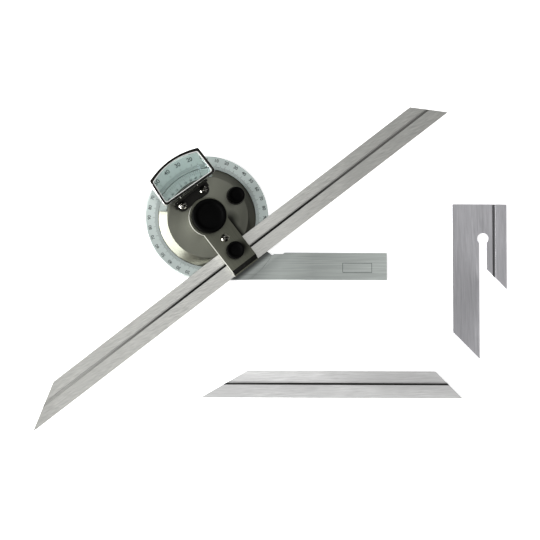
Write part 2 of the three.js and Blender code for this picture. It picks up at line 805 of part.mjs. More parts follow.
// A flat blade with its outer edge on Y = 0, pointed at both ends of that edge, and its groove.
function blade(length) {
  const leftCut = bladeWidth / Math.tan(leftCutAngle * degree);
  const rightCut = bladeWidth / Math.tan(rightCutAngle * degree);
  const body = plate(polygon([
    [0, 0], [length, 0], [length - rightCut, bladeWidth], [leftCut, bladeWidth],
  ]), 0, bladeThickness);
  return cut(body, block(
    -overrun, length + overrun, grooveInset, grooveInset + grooveWidth,
    bladeThickness - grooveDepth, bladeThickness + overrun));
}
const longBlade = piece('long_blade', blade(longBladeLength), groundSteel);
longBlade.position.set(-longBladeReach, -bladeOuter, bladeBottom);
swivelParts.add(longBlade);

// The bracket's foot follows the arm's round head, and its upright carries the magnifier frame.
const uprightOuter = bracketInner + bracketUpright;
const uprightTop = armBottom + bracketHeight;
const footTop = armBottom + bracketFootThickness;
const framePinHeight = uprightTop - framePinDrop;

function bracket() {
  const [left, right] = bracketScrewPlaces.map(([x, y]) => disc(
    bracketLobeRadius, armBottom, footTop, shaftSides, x, y));
  const web = block(
    -bracketHalfWidth, bracketHalfWidth, bracketScrewPlace, uprightOuter, armBottom, footTop);
  const betweenLobes = block(
    -bracketScrewX, bracketScrewX, bracketWebPlace, uprightOuter, armBottom, footTop);
  const upright = block(
    -bracketHalfWidth, bracketHalfWidth, bracketInner, uprightOuter, armBottom, uprightTop);
  const headRoom = disc(armHeadRadius + gap, 0, uprightTop, knobSides);
  const screwHoles = bracketScrewPlaces.map(([x, y]) => disc(
    bracketScrewShank + gap, 0, uprightTop, screwSides, x, y));
  const pinHoles = [-1, 1].map((side) => pinAlongY(
    framePinRadius + gap, bracketInner - overrun, uprightOuter + overrun, side * framePinX));
  return cut(join(left, right, web, betweenLobes, upright), headRoom, ...screwHoles, ...pinHoles);
}

// A round bar along Y at the height of the frame's pins.
function pinAlongY(radius, from, to, x) {
  const geometry = new THREE.CylinderGeometry(radius, radius, to - from, screwSides);
  geometry.translate(x, (from + to) / 2, framePinHeight);
  return solidOf(geometry);
}
swivelParts.add(piece('magnifier_bracket', bracket(), blackEnamel));

bracketScrewPlaces.forEach(([x, y], index) => {
  const screw = piece(
    `bracket_screw_${index + 1}`,
    domeScrew(bracketScrewRadius, bracketScrewShank, footTop + gap - discTop + bracketScrewReach),
    brightSteel);
  screw.position.set(x, y, footTop + gap);
  swivelParts.add(screw);
});

// The frame sits a little askew, so its lower edge keeps clear of the upright's ends.
const frameSkew = Math.tan(Math.abs(magnifierTurn) * degree) * bracketHalfWidth;
const frameBottom = uprightOuter + gap + frameSkew;
const frameLow = armBottom + frameLift;
const frameTop = frameLow + frameHeight;

// The frame's outline drawn in by an inset: straight lower edge and sides, a bowed upper edge.
function magnifierOutline(inset) {
  const bottom = frameBottom + inset;
  const shoulder = frameBottom + frameDepth - inset;
  const lowHalf = frameBottomHalfWidth - inset;
  const highHalf = frameTopHalfWidth - inset;
  const corner = Math.max(frameCorner - inset / 2, frameCorner / 2);
  const shape = new THREE.Shape();
  shape.moveTo(corner - lowHalf, bottom);
  shape.lineTo(lowHalf - corner, bottom);
  shape.quadraticCurveTo(lowHalf, bottom, lowHalf, bottom + corner);
  shape.lineTo(highHalf, shoulder - corner / 2);
  const arcHalf = highHalf - corner / 2;
  for (let step = 0; step <= frameArcSteps; step += 1) {
    const x = arcHalf * (1 - 2 * step / frameArcSteps);
    shape.lineTo(x, shoulder + frameArcRise * (1 - (x / arcHalf) ** 2));
  }
  shape.lineTo(-highHalf, shoulder - corner / 2);
  shape.lineTo(-lowHalf, bottom + corner);
  shape.quadraticCurveTo(-lowHalf, bottom, corner - lowHalf, bottom);
  return shape;
}

const magnifierParts = new THREE.Group();
magnifierParts.rotation.z = magnifierTurn * degree;
const pivot = new THREE.Vector2(0, frameBottom);
const turnedPivot = pivot.clone().rotateAround(new THREE.Vector2(), magnifierTurn * degree);
magnifierParts.position.set(frameMiddle + pivot.x - turnedPivot.x, pivot.y - turnedPivot.y, 0);
swivelParts.add(magnifierParts);

function magnifierFrame() {
  const body = plate(magnifierOutline(0), frameLow, frameTop);
  const opening = plate(magnifierOutline(frameWall), frameLow + frameLedgeHeight, frameTop + overrun);
  const sight = plate(magnifierOutline(frameWall + frameLedge), frameLow - overrun, frameTop);
  const pinHoles = [-1, 1].map((side) => pinAlongY(
    framePinRadius + gap, frameBottom - overrun, frameBottom + frameWall + frameLedge + overrun,
    side * framePinX - frameMiddle));
  return cut(body, opening, sight, ...pinHoles);
}
magnifierParts.add(piece('magnifier_frame', magnifierFrame(), brightSteel));

// The lens is flat below and domed above.
function magnifierLens() {
  const low = frameLow + frameLedgeHeight + gap;
  const edge = low + lensEdgeThickness;
  const top = edge + lensDomeRise;
  const slab = plate(magnifierOutline(frameWall + gap), low, top);
  const reach = frameBottomHalfWidth + frameWall;
  const dome = [[0, low - overrun], [reach, low - overrun]];
  for (let step = 0; step <= lensDomeRings; step += 1) {
    const share = 1 - step / lensDomeRings;
    dome.push([reach * share, edge + lensDomeRise * (1 - share ** 2)]);
  }
  return slab.intersect(turned(dome, knobSides, 0, frameBottom + (frameDepth + frameArcRise) / 2));
}
magnifierParts.add(piece('magnifier_lens', magnifierLens(), glass));

[-1, 1].forEach((side, index) => {
  const end = frameBottom + frameWall - gap - frameSkew;
  swivelParts.add(piece(
    `frame_pin_${index + 1}`,
    pinAlongY(framePinRadius, bracketInner, end, side * framePinX), brightSteel));
});

// The acute-angle attachment, drawn from its upper left corner, with two legs and a keyhole slot.
function acuteAttachment() {
  const slotEdge = mainLegWidth + slotWidth;
  const width = slotEdge + shortLegWidth;
  const slope = Math.tan(attachmentCutAngle * degree);
  const slotMiddle = mainLegWidth + slotWidth / 2;
  const body = plate(polygon([
    [0, 0],
    [0, mainLegWidth * slope - mainLegLength],
    [mainLegWidth, -mainLegLength],
    [mainLegWidth, -keyholePlace],
    [slotEdge, -keyholePlace],
    [slotEdge, shortLegWidth * slope - shortLegLength],
    [width, -shortLegLength],
    [width, 0],
  ]), 0, attachmentThickness);
  const keyhole = disc(
    keyholeRadius, -overrun, attachmentThickness + overrun, shaftSides, slotMiddle, -keyholePlace);
  const grooveLeft = width - attachmentGrooveInset - grooveWidth;
  const groove = block(
    grooveLeft, grooveLeft + grooveWidth, -shortLegLength - overrun, overrun,
    attachmentThickness - grooveDepth, attachmentThickness + overrun);
  return cut(body, keyhole, groove);
}

const protractor = new THREE.Group();
protractor.add(stockParts, swivelParts);

const spareBlade = piece('short_blade', blade(shortBladeLength), groundSteel);
spareBlade.position.set(shortBladeX, shortBladeY, 0);
protractor.add(spareBlade);

const attachment = piece('acute_attachment', acuteAttachment(), groundSteel);
attachment.position.set(attachmentX, attachmentY, 0);
protractor.add(attachment);

export default protractor;
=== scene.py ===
# %% [markdown]
# A universal bevel protractor lies on its back beside its spare short blade and its acute-angle
# attachment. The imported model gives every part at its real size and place, so it is loaded first
# and stays as it is. This file dresses it: each visible part gets a finer surface, made with numpy,
# and a finish worked out by nodes.

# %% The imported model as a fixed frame
import math
import bmesh
import bpy
import numpy as np
from mathutils import Matrix, Vector


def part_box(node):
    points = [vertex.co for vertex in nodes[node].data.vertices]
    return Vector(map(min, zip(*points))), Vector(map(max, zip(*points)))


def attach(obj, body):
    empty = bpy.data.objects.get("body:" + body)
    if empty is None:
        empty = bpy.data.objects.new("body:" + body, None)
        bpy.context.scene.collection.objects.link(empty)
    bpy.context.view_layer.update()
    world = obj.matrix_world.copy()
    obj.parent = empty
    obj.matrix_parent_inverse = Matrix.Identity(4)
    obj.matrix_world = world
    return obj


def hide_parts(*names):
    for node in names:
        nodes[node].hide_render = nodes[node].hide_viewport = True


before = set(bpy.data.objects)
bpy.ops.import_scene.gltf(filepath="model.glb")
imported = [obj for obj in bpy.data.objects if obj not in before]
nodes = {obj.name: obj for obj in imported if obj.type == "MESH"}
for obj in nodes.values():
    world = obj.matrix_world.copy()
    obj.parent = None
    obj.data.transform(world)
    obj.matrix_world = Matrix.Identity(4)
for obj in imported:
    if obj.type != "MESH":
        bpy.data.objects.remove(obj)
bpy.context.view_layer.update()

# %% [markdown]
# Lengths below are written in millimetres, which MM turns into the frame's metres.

MM = 0.001

# %% [markdown]
# Most places follow from the frame. The dial's axis is the Z axis. The blade, the arm and the
# magnifier share a second set of directions, turned about that axis: along the blade, and across
# it towards the magnifier. The blade's angle is read from the line between the two dowels.

# %% Directions of the turned swivel
def middle(node):
    """The centre of a node's box, in metres."""
    low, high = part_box(node)
    return np.array((low + high) / 2)

dowel_line = middle("arm_dowel_2") - middle("arm_dowel_1")
BLADE_TURN = math.atan2(dowel_line[1], dowel_line[0])

def swung(points, turn=BLADE_TURN, about=(0.0, 0.0)):
    """Points turned about a vertical line: x' = x cos t - y sin t and y' = x sin t + y cos t."""
    points = np.asarray(points, float)
    x = points[..., 0] - about[0]
    y = points[..., 1] - about[1]
    turned_x = x * math.cos(turn) - y * math.sin(turn) + about[0]
    turned_y = x * math.sin(turn) + y * math.cos(turn) + about[1]
    return np.stack([turned_x, turned_y, points[..., 2]], axis=-1)

print("blade angle, degrees:", round(math.degrees(BLADE_TURN), 3))

# %% [markdown]
# The photograph looks down on the tool from far off, with the camera a little to the lower left:
# high parts shift to the upper right. A long lens keeps the tool's straight edges parallel. The
# camera is tipped from straight down by the shortest turn, so nothing spins in the picture.

# %% The camera at the photograph's angle
FRAME_WIDTH = 306.6 * MM
VIEW_CENTRE = Vector((35.8, -29.6, 6.0)) * MM
VIEW_BACK = Vector((-0.105, -0.085, 0.99)).normalized()
VIEW_DISTANCE = 8.0

camera_data = bpy.data.cameras.new("camera")
camera_data.lens = camera_data.sensor_width * VIEW_DISTANCE / FRAME_WIDTH
camera_data.dof.use_dof = False
camera = bpy.data.objects.new("camera", camera_data)
bpy.context.scene.collection.objects.link(camera)
bpy.context.scene.camera = camera
turn = Vector((0, 0, 1)).rotation_difference(VIEW_BACK).to_matrix().to_4x4()
camera.matrix_world = Matrix.Translation(VIEW_CENTRE + VIEW_BACK * VIEW_DISTANCE) @ turn
camera_data.clip_start = 0.01
print("lens, mm:", round(camera_data.lens, 1))

# %% [markdown]
# Bare steel shows what it faces. The photograph's walls are white on the left and almost black on
# the right, so one big soft panel stands at the left and one hangs above, and the right side of the
# room stays dim. A weak warm panel further round to the front lifts the shadows, and a small one
# draws the glints on the turned disc.

# %% Lights
def panel(name, place, width, height, watts, colour=(1.0, 1.0, 1.0)):
    """A soft oval light at a place, facing the dial's centre: it looks along -place."""
    data = bpy.data.lights.new(name, "AREA")
    data.shape = "ELLIPSE"
    data.size = width
    data.size_y = height
    data.energy = watts
    data.color = colour
    light = bpy.data.objects.new(name, data)
    light.location = place
    light.rotation_euler = (-Vector(place)).to_track_quat("-Z", "Y").to_euler()
    bpy.context.scene.collection.objects.link(light)
    print(name, "watts:", watts)

def around(azimuth, distance, height):
    """A place at an azimuth, counted in degrees from +X: (d cos a, d sin a, h)."""
    angle = math.radians(azimuth)
    return (distance * math.cos(angle), distance * math.sin(angle), height)

LEFT_AZIMUTH, FRONT_AZIMUTH, GLINT_AZIMUTH = 202, 247, 195
ROOM_REACH, ROOM_LEVEL = 5.1, 2.0
WARM_WHITE = (1.0, 0.93, 0.8)
panel("overhead_panel", (-0.08, 0.11, 1.3), 1.3, 1.3, 4.2)
panel("left_panel", around(LEFT_AZIMUTH, ROOM_REACH, ROOM_LEVEL), 7.4, 3.2, 1080.0)
panel("front_panel", around(FRONT_AZIMUTH, ROOM_REACH, ROOM_LEVEL), 3.0, 3.2, 15.0, WARM_WHITE)
panel("glint_panel", around(GLINT_AZIMUTH, 1.25, 2.1), 0.34, 0.34, 4.0)

# %% [markdown]
# The rest of the room is a weak even white. The floor is one plain face, as the photograph's ground
# is, and lies a few hundredths of a millimetre below the tool, so that it shares no surface with it.

# %% Room and floor
world = bpy.data.worlds.new("room")
bpy.context.scene.world = world
world.use_nodes = True
world.node_tree.nodes["Background"].inputs["Color"].default_value = (1.0, 1.0, 1.0, 1.0)
world.node_tree.nodes["Background"].inputs["Strength"].default_value = 0.15
bpy.context.scene.view_settings.view_transform = "Standard"

FLOOR_DROP = 0.03 * MM
FLOOR_HALF = 1.6
floor_mesh = bpy.data.meshes.new("floor")
floor_corners = np.array([(-1, -1), (1, -1), (1, 1), (-1, 1)]) * FLOOR_HALF
floor_points = np.column_stack([floor_corners, np.full(4, -FLOOR_DROP)])
floor_mesh.from_pydata(floor_points.tolist(), [], [(0, 1, 2, 3)])
floor = bpy.data.objects.new("floor", floor_mesh)
bpy.context.scene.collection.objects.link(floor)

# %% [markdown]
# Every new surface starts as one numpy array of points and a list of faces. One function makes the
# mesh, merges points that coincide, turns the faces outwards and smooths the shading. A blade's face
# must look flat up to its fine bevels, so each point's normal leans towards its widest faces.

# %% A mesh from points and faces
MERGE = 1e-7

def mesh_piece(name, points, faces, smooth_angle=30.0, flat=True):
    """A mesh object from points and faces, with its coinciding points merged and its faces turned
    out. flat keeps its wide faces flat in shading, which a curved lens can do without."""
    mesh = bpy.data.meshes.new(name)
    mesh.from_pydata(np.asarray(points).reshape(-1, 3).tolist(), [], faces)
    work = bmesh.new()
    work.from_mesh(mesh)
    bmesh.ops.remove_doubles(work, verts=work.verts, dist=MERGE)
    bmesh.ops.dissolve_degenerate(work, edges=work.edges, dist=MERGE)
    bmesh.ops.recalc_face_normals(work, faces=work.faces)
    work.to_mesh(mesh)
    work.free()
    mesh.shade_smooth()
    mesh.set_sharp_from_angle(angle=math.radians(smooth_angle))
    piece = bpy.data.objects.new(name, mesh)
    bpy.context.scene.collection.objects.link(piece)
    if flat:
        keep_flat(piece)
    return piece

def keep_flat(piece):
    """Weights each point's normal by the area of its faces, so wide flat faces shade flat up to
    their rounded edges."""
    weighted = piece.modifiers.new("flat_faces", "WEIGHTED_NORMAL")
    weighted.keep_sharp = True
    weighted.weight = 100

# %% [markdown]
# The points are laid out in rows: a closed loop of points, repeated at stations along a path. Quads
# join neighbouring points. The two ends are closed by a face each, or they meet on an axis, where
# the points that coincide become a pole. A section carried round a closed path has no ends.

# %% Surfaces from rows of points
def strip_faces(rows, columns, close_rows=False):
    """Quads between the points of a grid whose columns close on themselves."""
    row = np.arange(rows if close_rows else rows - 1)[:, None]
    column = np.arange(columns)[None, :]
    next_row = (row + 1) % rows
    next_column = (column + 1) % columns
    corners = [row * columns + column, row * columns + next_column,
               next_row * columns + next_column, next_row * columns + column]
    return np.stack(corners, axis=-1).reshape(-1, 4).tolist()

def lofted(name, rows, smooth_angle=30.0):
    """A solid through closed rows of points, its first and last rows closed by a face each."""
    count, columns = rows.shape[:2]
    faces = strip_faces(count, columns)
    faces.append(list(range(columns)))
    faces.append(list(range((count - 1) * columns, count * columns)))
    return mesh_piece(name, rows, faces, smooth_angle)

def looped(name, rows, smooth_angle=30.0):
    """A ring-shaped solid: closed rows of points along a path that closes as well."""
    count, columns = rows.shape[:2]
    return mesh_piece(name, rows, strip_faces(count, columns, close_rows=True), smooth_angle)

def turned_piece(name, profile, sides, centre=(0.0, 0.0), ripple=None, smooth_angle=30.0):
    """A profile of (radius, height) carried round a vertical axis: x = r cos a, y = r sin a, z = h.
    A ripple, if given, is an array that scales each radius at each angle, as for a knurl."""
    angle = np.arange(sides) * 2 * math.pi / sides
    radius = profile[:, 0][:, None] * np.ones(sides)[None, :]
    if ripple is not None:
        radius = radius * ripple
    x = radius * np.cos(angle) + centre[0]
    y = radius * np.sin(angle) + centre[1]
    z = np.broadcast_to(profile[:, 1][:, None], radius.shape)
    rows = np.stack([x, y, z], axis=-1)
    if np.allclose(profile[0], profile[-1]):
        return looped(name, rows[:-1], smooth_angle)
    return mesh_piece(name, rows, strip_faces(len(profile), sides), smooth_angle)

# %% [markdown]
# No machined edge is perfectly sharp. The outlines and profiles below are typed as a few corners,
# and a function rounds each corner. Another draws a closed outline in by a distance, which gives a
# plate its fine bevels.

# %% Rounded corners and drawn-in outlines
def softened(corners, radius, steps=3, closed=False):
    """Corners rounded by a parabola from radius before each to radius after it:
    P(s) = (1 - s)^2 A + 2 s (1 - s) C + s^2 B, where C is the corner."""
    corners = np.asarray(corners, float)
    before = np.roll(corners, 1, axis=0)
    after = np.roll(corners, -1, axis=0)
    reach_in = np.linalg.norm(before - corners, axis=1, keepdims=True)
    reach_out = np.linalg.norm(after - corners, axis=1, keepdims=True)
    radius = np.broadcast_to(np.asarray(radius, float).reshape(-1, 1), reach_in.shape)
    start = corners + (before - corners) * np.minimum(radius / np.maximum(reach_in, 1e-12), 0.45)
    end = corners + (after - corners) * np.minimum(radius / np.maximum(reach_out, 1e-12), 0.45)
    s = np.linspace(0, 1, steps)[None, :, None]
    curve = (1 - s) ** 2 * start[:, None] + 2 * s * (1 - s) * corners[:, None] + s ** 2 * end[:, None]
    if not closed:
        curve[0] = corners[0]
        curve[-1] = corners[-1]
    return curve.reshape(-1, corners.shape[1])

def inset(outline, distance):
    """A closed outline moved inwards along the mean of its two edge normals at each point, by
    d / cos(half the turn), so that every edge moves by the same distance."""
    ahead = np.roll(outline, -1, axis=0) - outline
    ahead /= np.maximum(np.linalg.norm(ahead, axis=1, keepdims=True), 1e-12)
    behind = np.roll(ahead, 1, axis=0)
    normal_ahead = np.stack([-ahead[:, 1], ahead[:, 0]], axis=1)
    normal_behind = np.stack([-behind[:, 1], behind[:, 0]], axis=1)
    mean = normal_ahead + normal_behind
    mean /= np.maximum(np.linalg.norm(mean, axis=1, keepdims=True), 1e-12)
    half_turn_cosine = np.maximum((mean * normal_ahead).sum(axis=1, keepdims=True), 0.5)
    return outline + mean * distance / half_turn_cosine

# %% [markdown]
# Some CAD parts, such as the stock and the arm, already have the right shape but knife-sharp edges.
# A copy of the part is merged and gets a bevel a tenth or two of a millimetre wide, because a real
# edge is never perfectly sharp: it catches a line of light.

# %% Copies of CAD parts with softened edges
MERGE_COPY = 1e-6
LEVEL_WITHIN = math.radians(0.6)
SOFTENED_OVER = math.radians(30)

def softened_copy(node, name, width, segments=2):
    """A merged copy of a CAD node with its edges over 30 degrees bevelled by width."""
    mesh = nodes[node].data.copy()
    mesh.name = name
    mesh.materials.clear()
    work = bmesh.new()
    work.from_mesh(mesh)
    bmesh.ops.remove_doubles(work, verts=work.verts, dist=MERGE_COPY)
    bmesh.ops.dissolve_limit(work, angle_limit=LEVEL_WITHIN, verts=work.verts, edges=work.edges)
    bmesh.ops.recalc_face_normals(work, faces=work.faces)
    work.to_mesh(mesh)
    work.free()
    mesh.shade_smooth()
    piece = bpy.data.objects.new(name, mesh)
    bpy.context.scene.collection.objects.link(piece)
    bevel = piece.modifiers.new("soft_edges", "BEVEL")
    bevel.width = width
    bevel.segments = segments
    bevel.limit_method = "ANGLE"
    bevel.angle_limit = SOFTENED_OVER
    bevel.use_clamp_overlap = True
    keep_flat(piece)
    return piece

def dress(piece, body, slot, material, *replaced):
    """Gives a piece its finish and its body, and hides the CAD nodes that it stands for. The slot is not
    used.
    """
    piece.data.materials.clear()
    piece.data.materials.append(material)
    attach(piece, body)
    if replaced:
        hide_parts(*replaced)
    print(piece.name, len(piece.data.vertices), "points")
    return piece

# %% [markdown]
# The finishes come next. A finish is a tree of nodes, and adding one by one takes many lines. A small
# helper adds a node, sets its sockets and links its inputs, so that each finish below reads as a
# short recipe.

# %% Helpers for nodes
class Recipe:
    """A new material and short calls to add linked nodes to it."""

    def __init__(self, name):
        self.material = bpy.data.materials.new(name)
        self.material.use_nodes = True
        self.tree = self.material.node_tree
        self.shader = self.tree.nodes["Principled BSDF"]
        self.object_place = self.add("ShaderNodeTexCoord").outputs["Object"]

    def put(self, value, socket):
        """Links a node's output to a socket, or sets the socket to a plain value."""
        if isinstance(value, bpy.types.NodeSocket):
            self.tree.links.new(value, socket)
        else:
            socket.default_value = value

    def add(self, kind, inputs=None, **settings):
        """A new node with its settings, and each of its inputs linked or set."""
        node = self.tree.nodes.new(kind)
        for key, value in settings.items():
            setattr(node, key, value)
        for key, value in (inputs or {}).items():
            self.put(value, node.inputs[key])
        return node

    def fixed(self, **sockets):
        """Sets sockets of the shader, an underscore standing for a space, and gives the material."""
        for socket, value in sockets.items():
            self.put(value, self.shader.inputs[socket.replace("_", " ")])
        print(self.material.name, "uses", len(self.tree.nodes), "nodes")
        return self.material

# %% [markdown]
# Grain, haze and speckle are all noise, which reads Object coordinates. These are the model's own
# metres, because every piece sits at the origin. The next helpers turn and stretch those coordinates,
# read a noise there, carry it to a range, and blend colours by it.

# %% Helpers for patterns
# A Mix node keeps its share and its two colours at these inputs, and its blended colour at this output.
MIX_INPUTS = (0, 6, 7)
MIX_OUTPUT = 2

class Patterned(Recipe):
    """A recipe that can also work out a pattern and lay it on the shader."""

    def mapped(self, scale, turn=0.0):
        """Coordinates turned about Z by turn, then scaled, so streaks can run along a part."""
        node = self.add("ShaderNodeMapping", {"Vector": self.object_place, "Rotation": (0.0, 0.0, turn)})
        stretch = self.add("ShaderNodeVectorMath", {0: node.outputs[0], 1: scale}, operation="MULTIPLY")
        return stretch.outputs[0]

    def noise(self, vector, scale=1.0, detail=3.0, roughness=0.6):
        """A cloudy value between 0 and 1, with that many features to a unit of the vector."""
        node = self.add("ShaderNodeTexNoise", {
            "Vector": vector, "Scale": scale, "Detail": detail, "Roughness": roughness})
        return node.outputs["Fac"]

    def spread(self, value, low, high, at=(0.3, 0.7)):
        """A value between at[0] and at[1] carried to the range from low to high."""
        node = self.add("ShaderNodeMapRange", {
            "Value": value, "From Min": at[0], "From Max": at[1], "To Min": low, "To Max": high})
        return node.outputs[0]

    def blend(self, share, first, second, mode="MIX"):
        """The first colour where the share is 0. Where it is 1, the second, or in the mode MULTIPLY the
        product of both."""
        node = self.add("ShaderNodeMix", data_type="RGBA", blend_type=mode)
        for index, value in zip(MIX_INPUTS, (share, first, second)):
            self.put((*value, 1.0) if isinstance(value, tuple) else value, node.inputs[index])
        return node.outputs[MIX_OUTPUT]

    def calculate(self, operation, first, second):
        """The two values added, multiplied or otherwise combined."""
        return self.add("ShaderNodeMath", {0: first, 1: second}, operation=operation).outputs[0]

    def finished(self, base, roughness, grain, height, strength, **sockets):
        """Links the base colour and the roughness, lets the grain raise the surface by that height, and
        sets the shader's other sockets."""
        self.put(base, self.shader.inputs["Base Color"])
        self.put(roughness, self.shader.inputs["Roughness"])
        bump = self.add("ShaderNodeBump", {"Height": grain, "Distance": height, "Strength": strength})
        self.put(bump.outputs[0], self.shader.inputs["Normal"])
        return self.fixed(**sockets)

# %% [markdown]
# These helpers paint light and shade into a colour: painted shading along a direction, a painted
# shadow round a spot, and painted shade where a piece's own attribute says so, on the floors of
# grooves and in slots.

# %% Helpers for painted light and shade
PAINTED_SHADE_LAYER = "painted_shade"

def times(tone, factor, lift=0.0):
    """A plain colour with each part multiplied and lifted: min(f c + l, 1)."""
    return tuple(min(level * factor + lift, 1.0) for level in tone)

class Worn(Patterned):
    """A patterned recipe that can also paint light, shade and shadows into a colour."""

    def along(self, angle):
        """How far a point lies along the direction at that angle: x cos a + y sin a."""
        return self.add("ShaderNodeVectorMath", {
            0: self.object_place, 1: (math.cos(angle), math.sin(angle), 0.0)},
            operation="DOT_PRODUCT").outputs["Value"]

    def apart(self, centre):
        """How far a point is from an upright line: sqrt((x - cx)^2 + (y - cy)^2)."""
        level = self.add("ShaderNodeVectorMath", {0: self.object_place, 1: (1, 1, 0)}, operation="MULTIPLY")
        return self.add("ShaderNodeVectorMath", {0: level.outputs[0], 1: (*centre, 0)},
                        operation="DISTANCE").outputs["Value"]

    def stained(self, colour, centre, inner, outer, shade):
        """A colour darkened to that shade up to inner from an upright line, and ever less up to outer: a
        painted shadow. All lengths are in millimetres."""
        gap = self.apart((centre[0] * MM, centre[1] * MM))
        share = self.spread(gap, 1.0, 0.0, (inner * MM, outer * MM))
        return self.blend(share, colour, self.blend(1.0, colour, (shade,) * 3, "MULTIPLY"))

    def tinted(self, colour, angle, stops):
        """A colour with painted light and shade, by stops of (millimetres along the direction at that angle,
        factor).
        """
        first, last = stops[0][0], stops[-1][0]
        share = self.spread(self.along(angle), 0.0, 1.0, (first * MM, last * MM))
        ramp = self.add("ShaderNodeValToRGB", {"Fac": share})
        brightest = max(shade for place, shade in stops)
        for index, (place, shade) in enumerate(stops):
            at = (place - first) / (last - first)
            stop = ramp.color_ramp.elements[index] if index < 2 else ramp.color_ramp.elements.new(at)
            stop.position = at
            stop.color = (shade / brightest,) * 3 + (1.0,)
        shaded = self.blend(1.0, colour, ramp.outputs["Color"], "MULTIPLY")
        return self.blend(1.0, shaded, (brightest,) * 3, "MULTIPLY")

    def grimed(self, colour, shade_colour):
        """Painted shade: the colour where a piece's shade layer is 0 and the dark colour where it is 1."""
        painted_shade = self.add("ShaderNodeAttribute", attribute_name=PAINTED_SHADE_LAYER).outputs["Fac"]
        return self.blend(painted_shade, colour, shade_colour)

# %% [markdown]
# The blades are ground flat. Seen close, the wheel leaves short scratches that cross and fade into
# one another, so two stretched noises at slightly different angles are mixed, and a wide soft noise
# tints the steel where it was handled. The same recipe serves the blades, the attachment, the stock
# and the arm, so it takes the angle, the tone and the size of the scratches.

# %% Ground steel
def ground_finish(name, tone, angle, stretch, roughness, contrast=0.05, painted_stretches=(), metal=1.0, painted_shadow_spot=None,
                  crossing_angle=-0.05):
    """Steel with scratches along the direction at that angle, and weaker ones turned from it by the
    crossing angle. stretch is (along, across) per metre, each painted stretch is painted light and shade
    as in tinted, and the painted shadow spot is a place with its sizes as in stained."""
    recipe = Worn(name)
    along, across = stretch
    streaks = recipe.noise(recipe.mapped((along, across, across), -angle), 1.0, 4.0, 0.7)
    crossing = recipe.noise(
        recipe.mapped((along * 1.6, across * 0.7, across), crossing_angle - angle), 1.0, 3.0)
    cloud = recipe.noise(recipe.object_place, 38.0, 3.0, 0.55)
    grain = recipe.calculate("MULTIPLY", recipe.calculate("ADD", streaks, crossing), 0.5)
    scratched = recipe.blend(recipe.spread(grain, 0.0, 1.0, (0.36, 0.64)),
                             times(tone, 1 - 2.2 * contrast), times(tone, 1 + 1.4 * contrast))
    base = recipe.blend(recipe.spread(cloud, 0.0, 0.55), scratched, times(tone, 1 - contrast))
    # Painted light and shade along the part, then a painted shadow round a spot.
    for painted_stretch in painted_stretches:
        base = recipe.tinted(base, *painted_stretch)
    if painted_shadow_spot:
        base = recipe.stained(base, *painted_shadow_spot)
    gloss = recipe.spread(grain, roughness - 0.07, roughness + 0.09, (0.35, 0.65))
    # Where the piece's shade layer says so, near-black is painted in as painted shade.
    return recipe.finished(recipe.grimed(base, (0.012, 0.012, 0.011)), gloss, grain, 0.005 * MM, 0.35,
                           Metallic=metal, Anisotropic=0.35)

# %% [markdown]
# The steel brightens and darkens along each part with the light that it caught and what it faced, and
# each stretch below paints that light and shade into the colour: a direction with a few stops, in
# millimetres from the dial's axis. The stock also gets a painted shadow beside the blade, and a light
# line along its step's edge as a painted highlight.

# %% Steels of the blades, the attachment and the stock
ACROSS_BLADE = BLADE_TURN - math.pi / 2
BLADE_PAINTED_LIGHT = (BLADE_TURN, ((-154, 0.90), (-120, 1.02), (28, 1.05), (50, 0.90), (84, 0.76), (146, 0.66)))
SPARE_PAINTED_LIGHT = (0.0, ((30, 1.16), (76, 1.0), (121, 0.95), (136, 1.0)))
ATTACHMENT_PAINTED_LIGHT = (0.0, ((140, 1.0), (158, 1.0), (164, 1.24), (172, 1.24)))
STOCK_PAINTED_LIGHT = (0.0, ((20, 0.75), (36, 1.0), (42, 1.05), (60, 0.85), (102, 1.2)))
# Painted shadow of the blade on the stock, with a painted highlight line along the step's edge.
BLADE_SIDE_SHADOW = (ACROSS_BLADE, (
    (34.6, 1.0), (35.6, 0.28), (36.6, 0.28), (37.6, 0.32), (38.5, 0.6), (39.6, 1.0), (40.6, 1.0),
    (42.4, 0.83), (47.5, 1.0)))
long_blade_steel = ground_finish("long_blade_steel", (0.62, 0.62, 0.59), BLADE_TURN, (110, 2400), 0.42, 0.17,
                                 (BLADE_PAINTED_LIGHT,), crossing_angle=0.3)
short_blade_steel = ground_finish("short_blade_steel", (0.64, 0.64, 0.635), 0.0, (60, 2000), 0.40, 0.12,
                                  (SPARE_PAINTED_LIGHT,))
attachment_steel = ground_finish("attachment_steel", (0.415, 0.412, 0.43), math.pi / 2, (40, 1500), 0.42,
                                 0.14, (ATTACHMENT_PAINTED_LIGHT,))
stock_steel = ground_finish("stock_steel", (0.36, 0.385, 0.37), 0.0, (25, 1900), 0.36, 0.13,
                            (STOCK_PAINTED_LIGHT, BLADE_SIDE_SHADOW), crossing_angle=-0.02)

# %% [markdown]
# A turned face is full of fine concentric grooves. They spread a highlight into bright sectors that
# meet at the centre, which is what the anisotropic lobe with a tangent round the axis gives. The
# grooves themselves are a noise read along the distance from the axis alone.

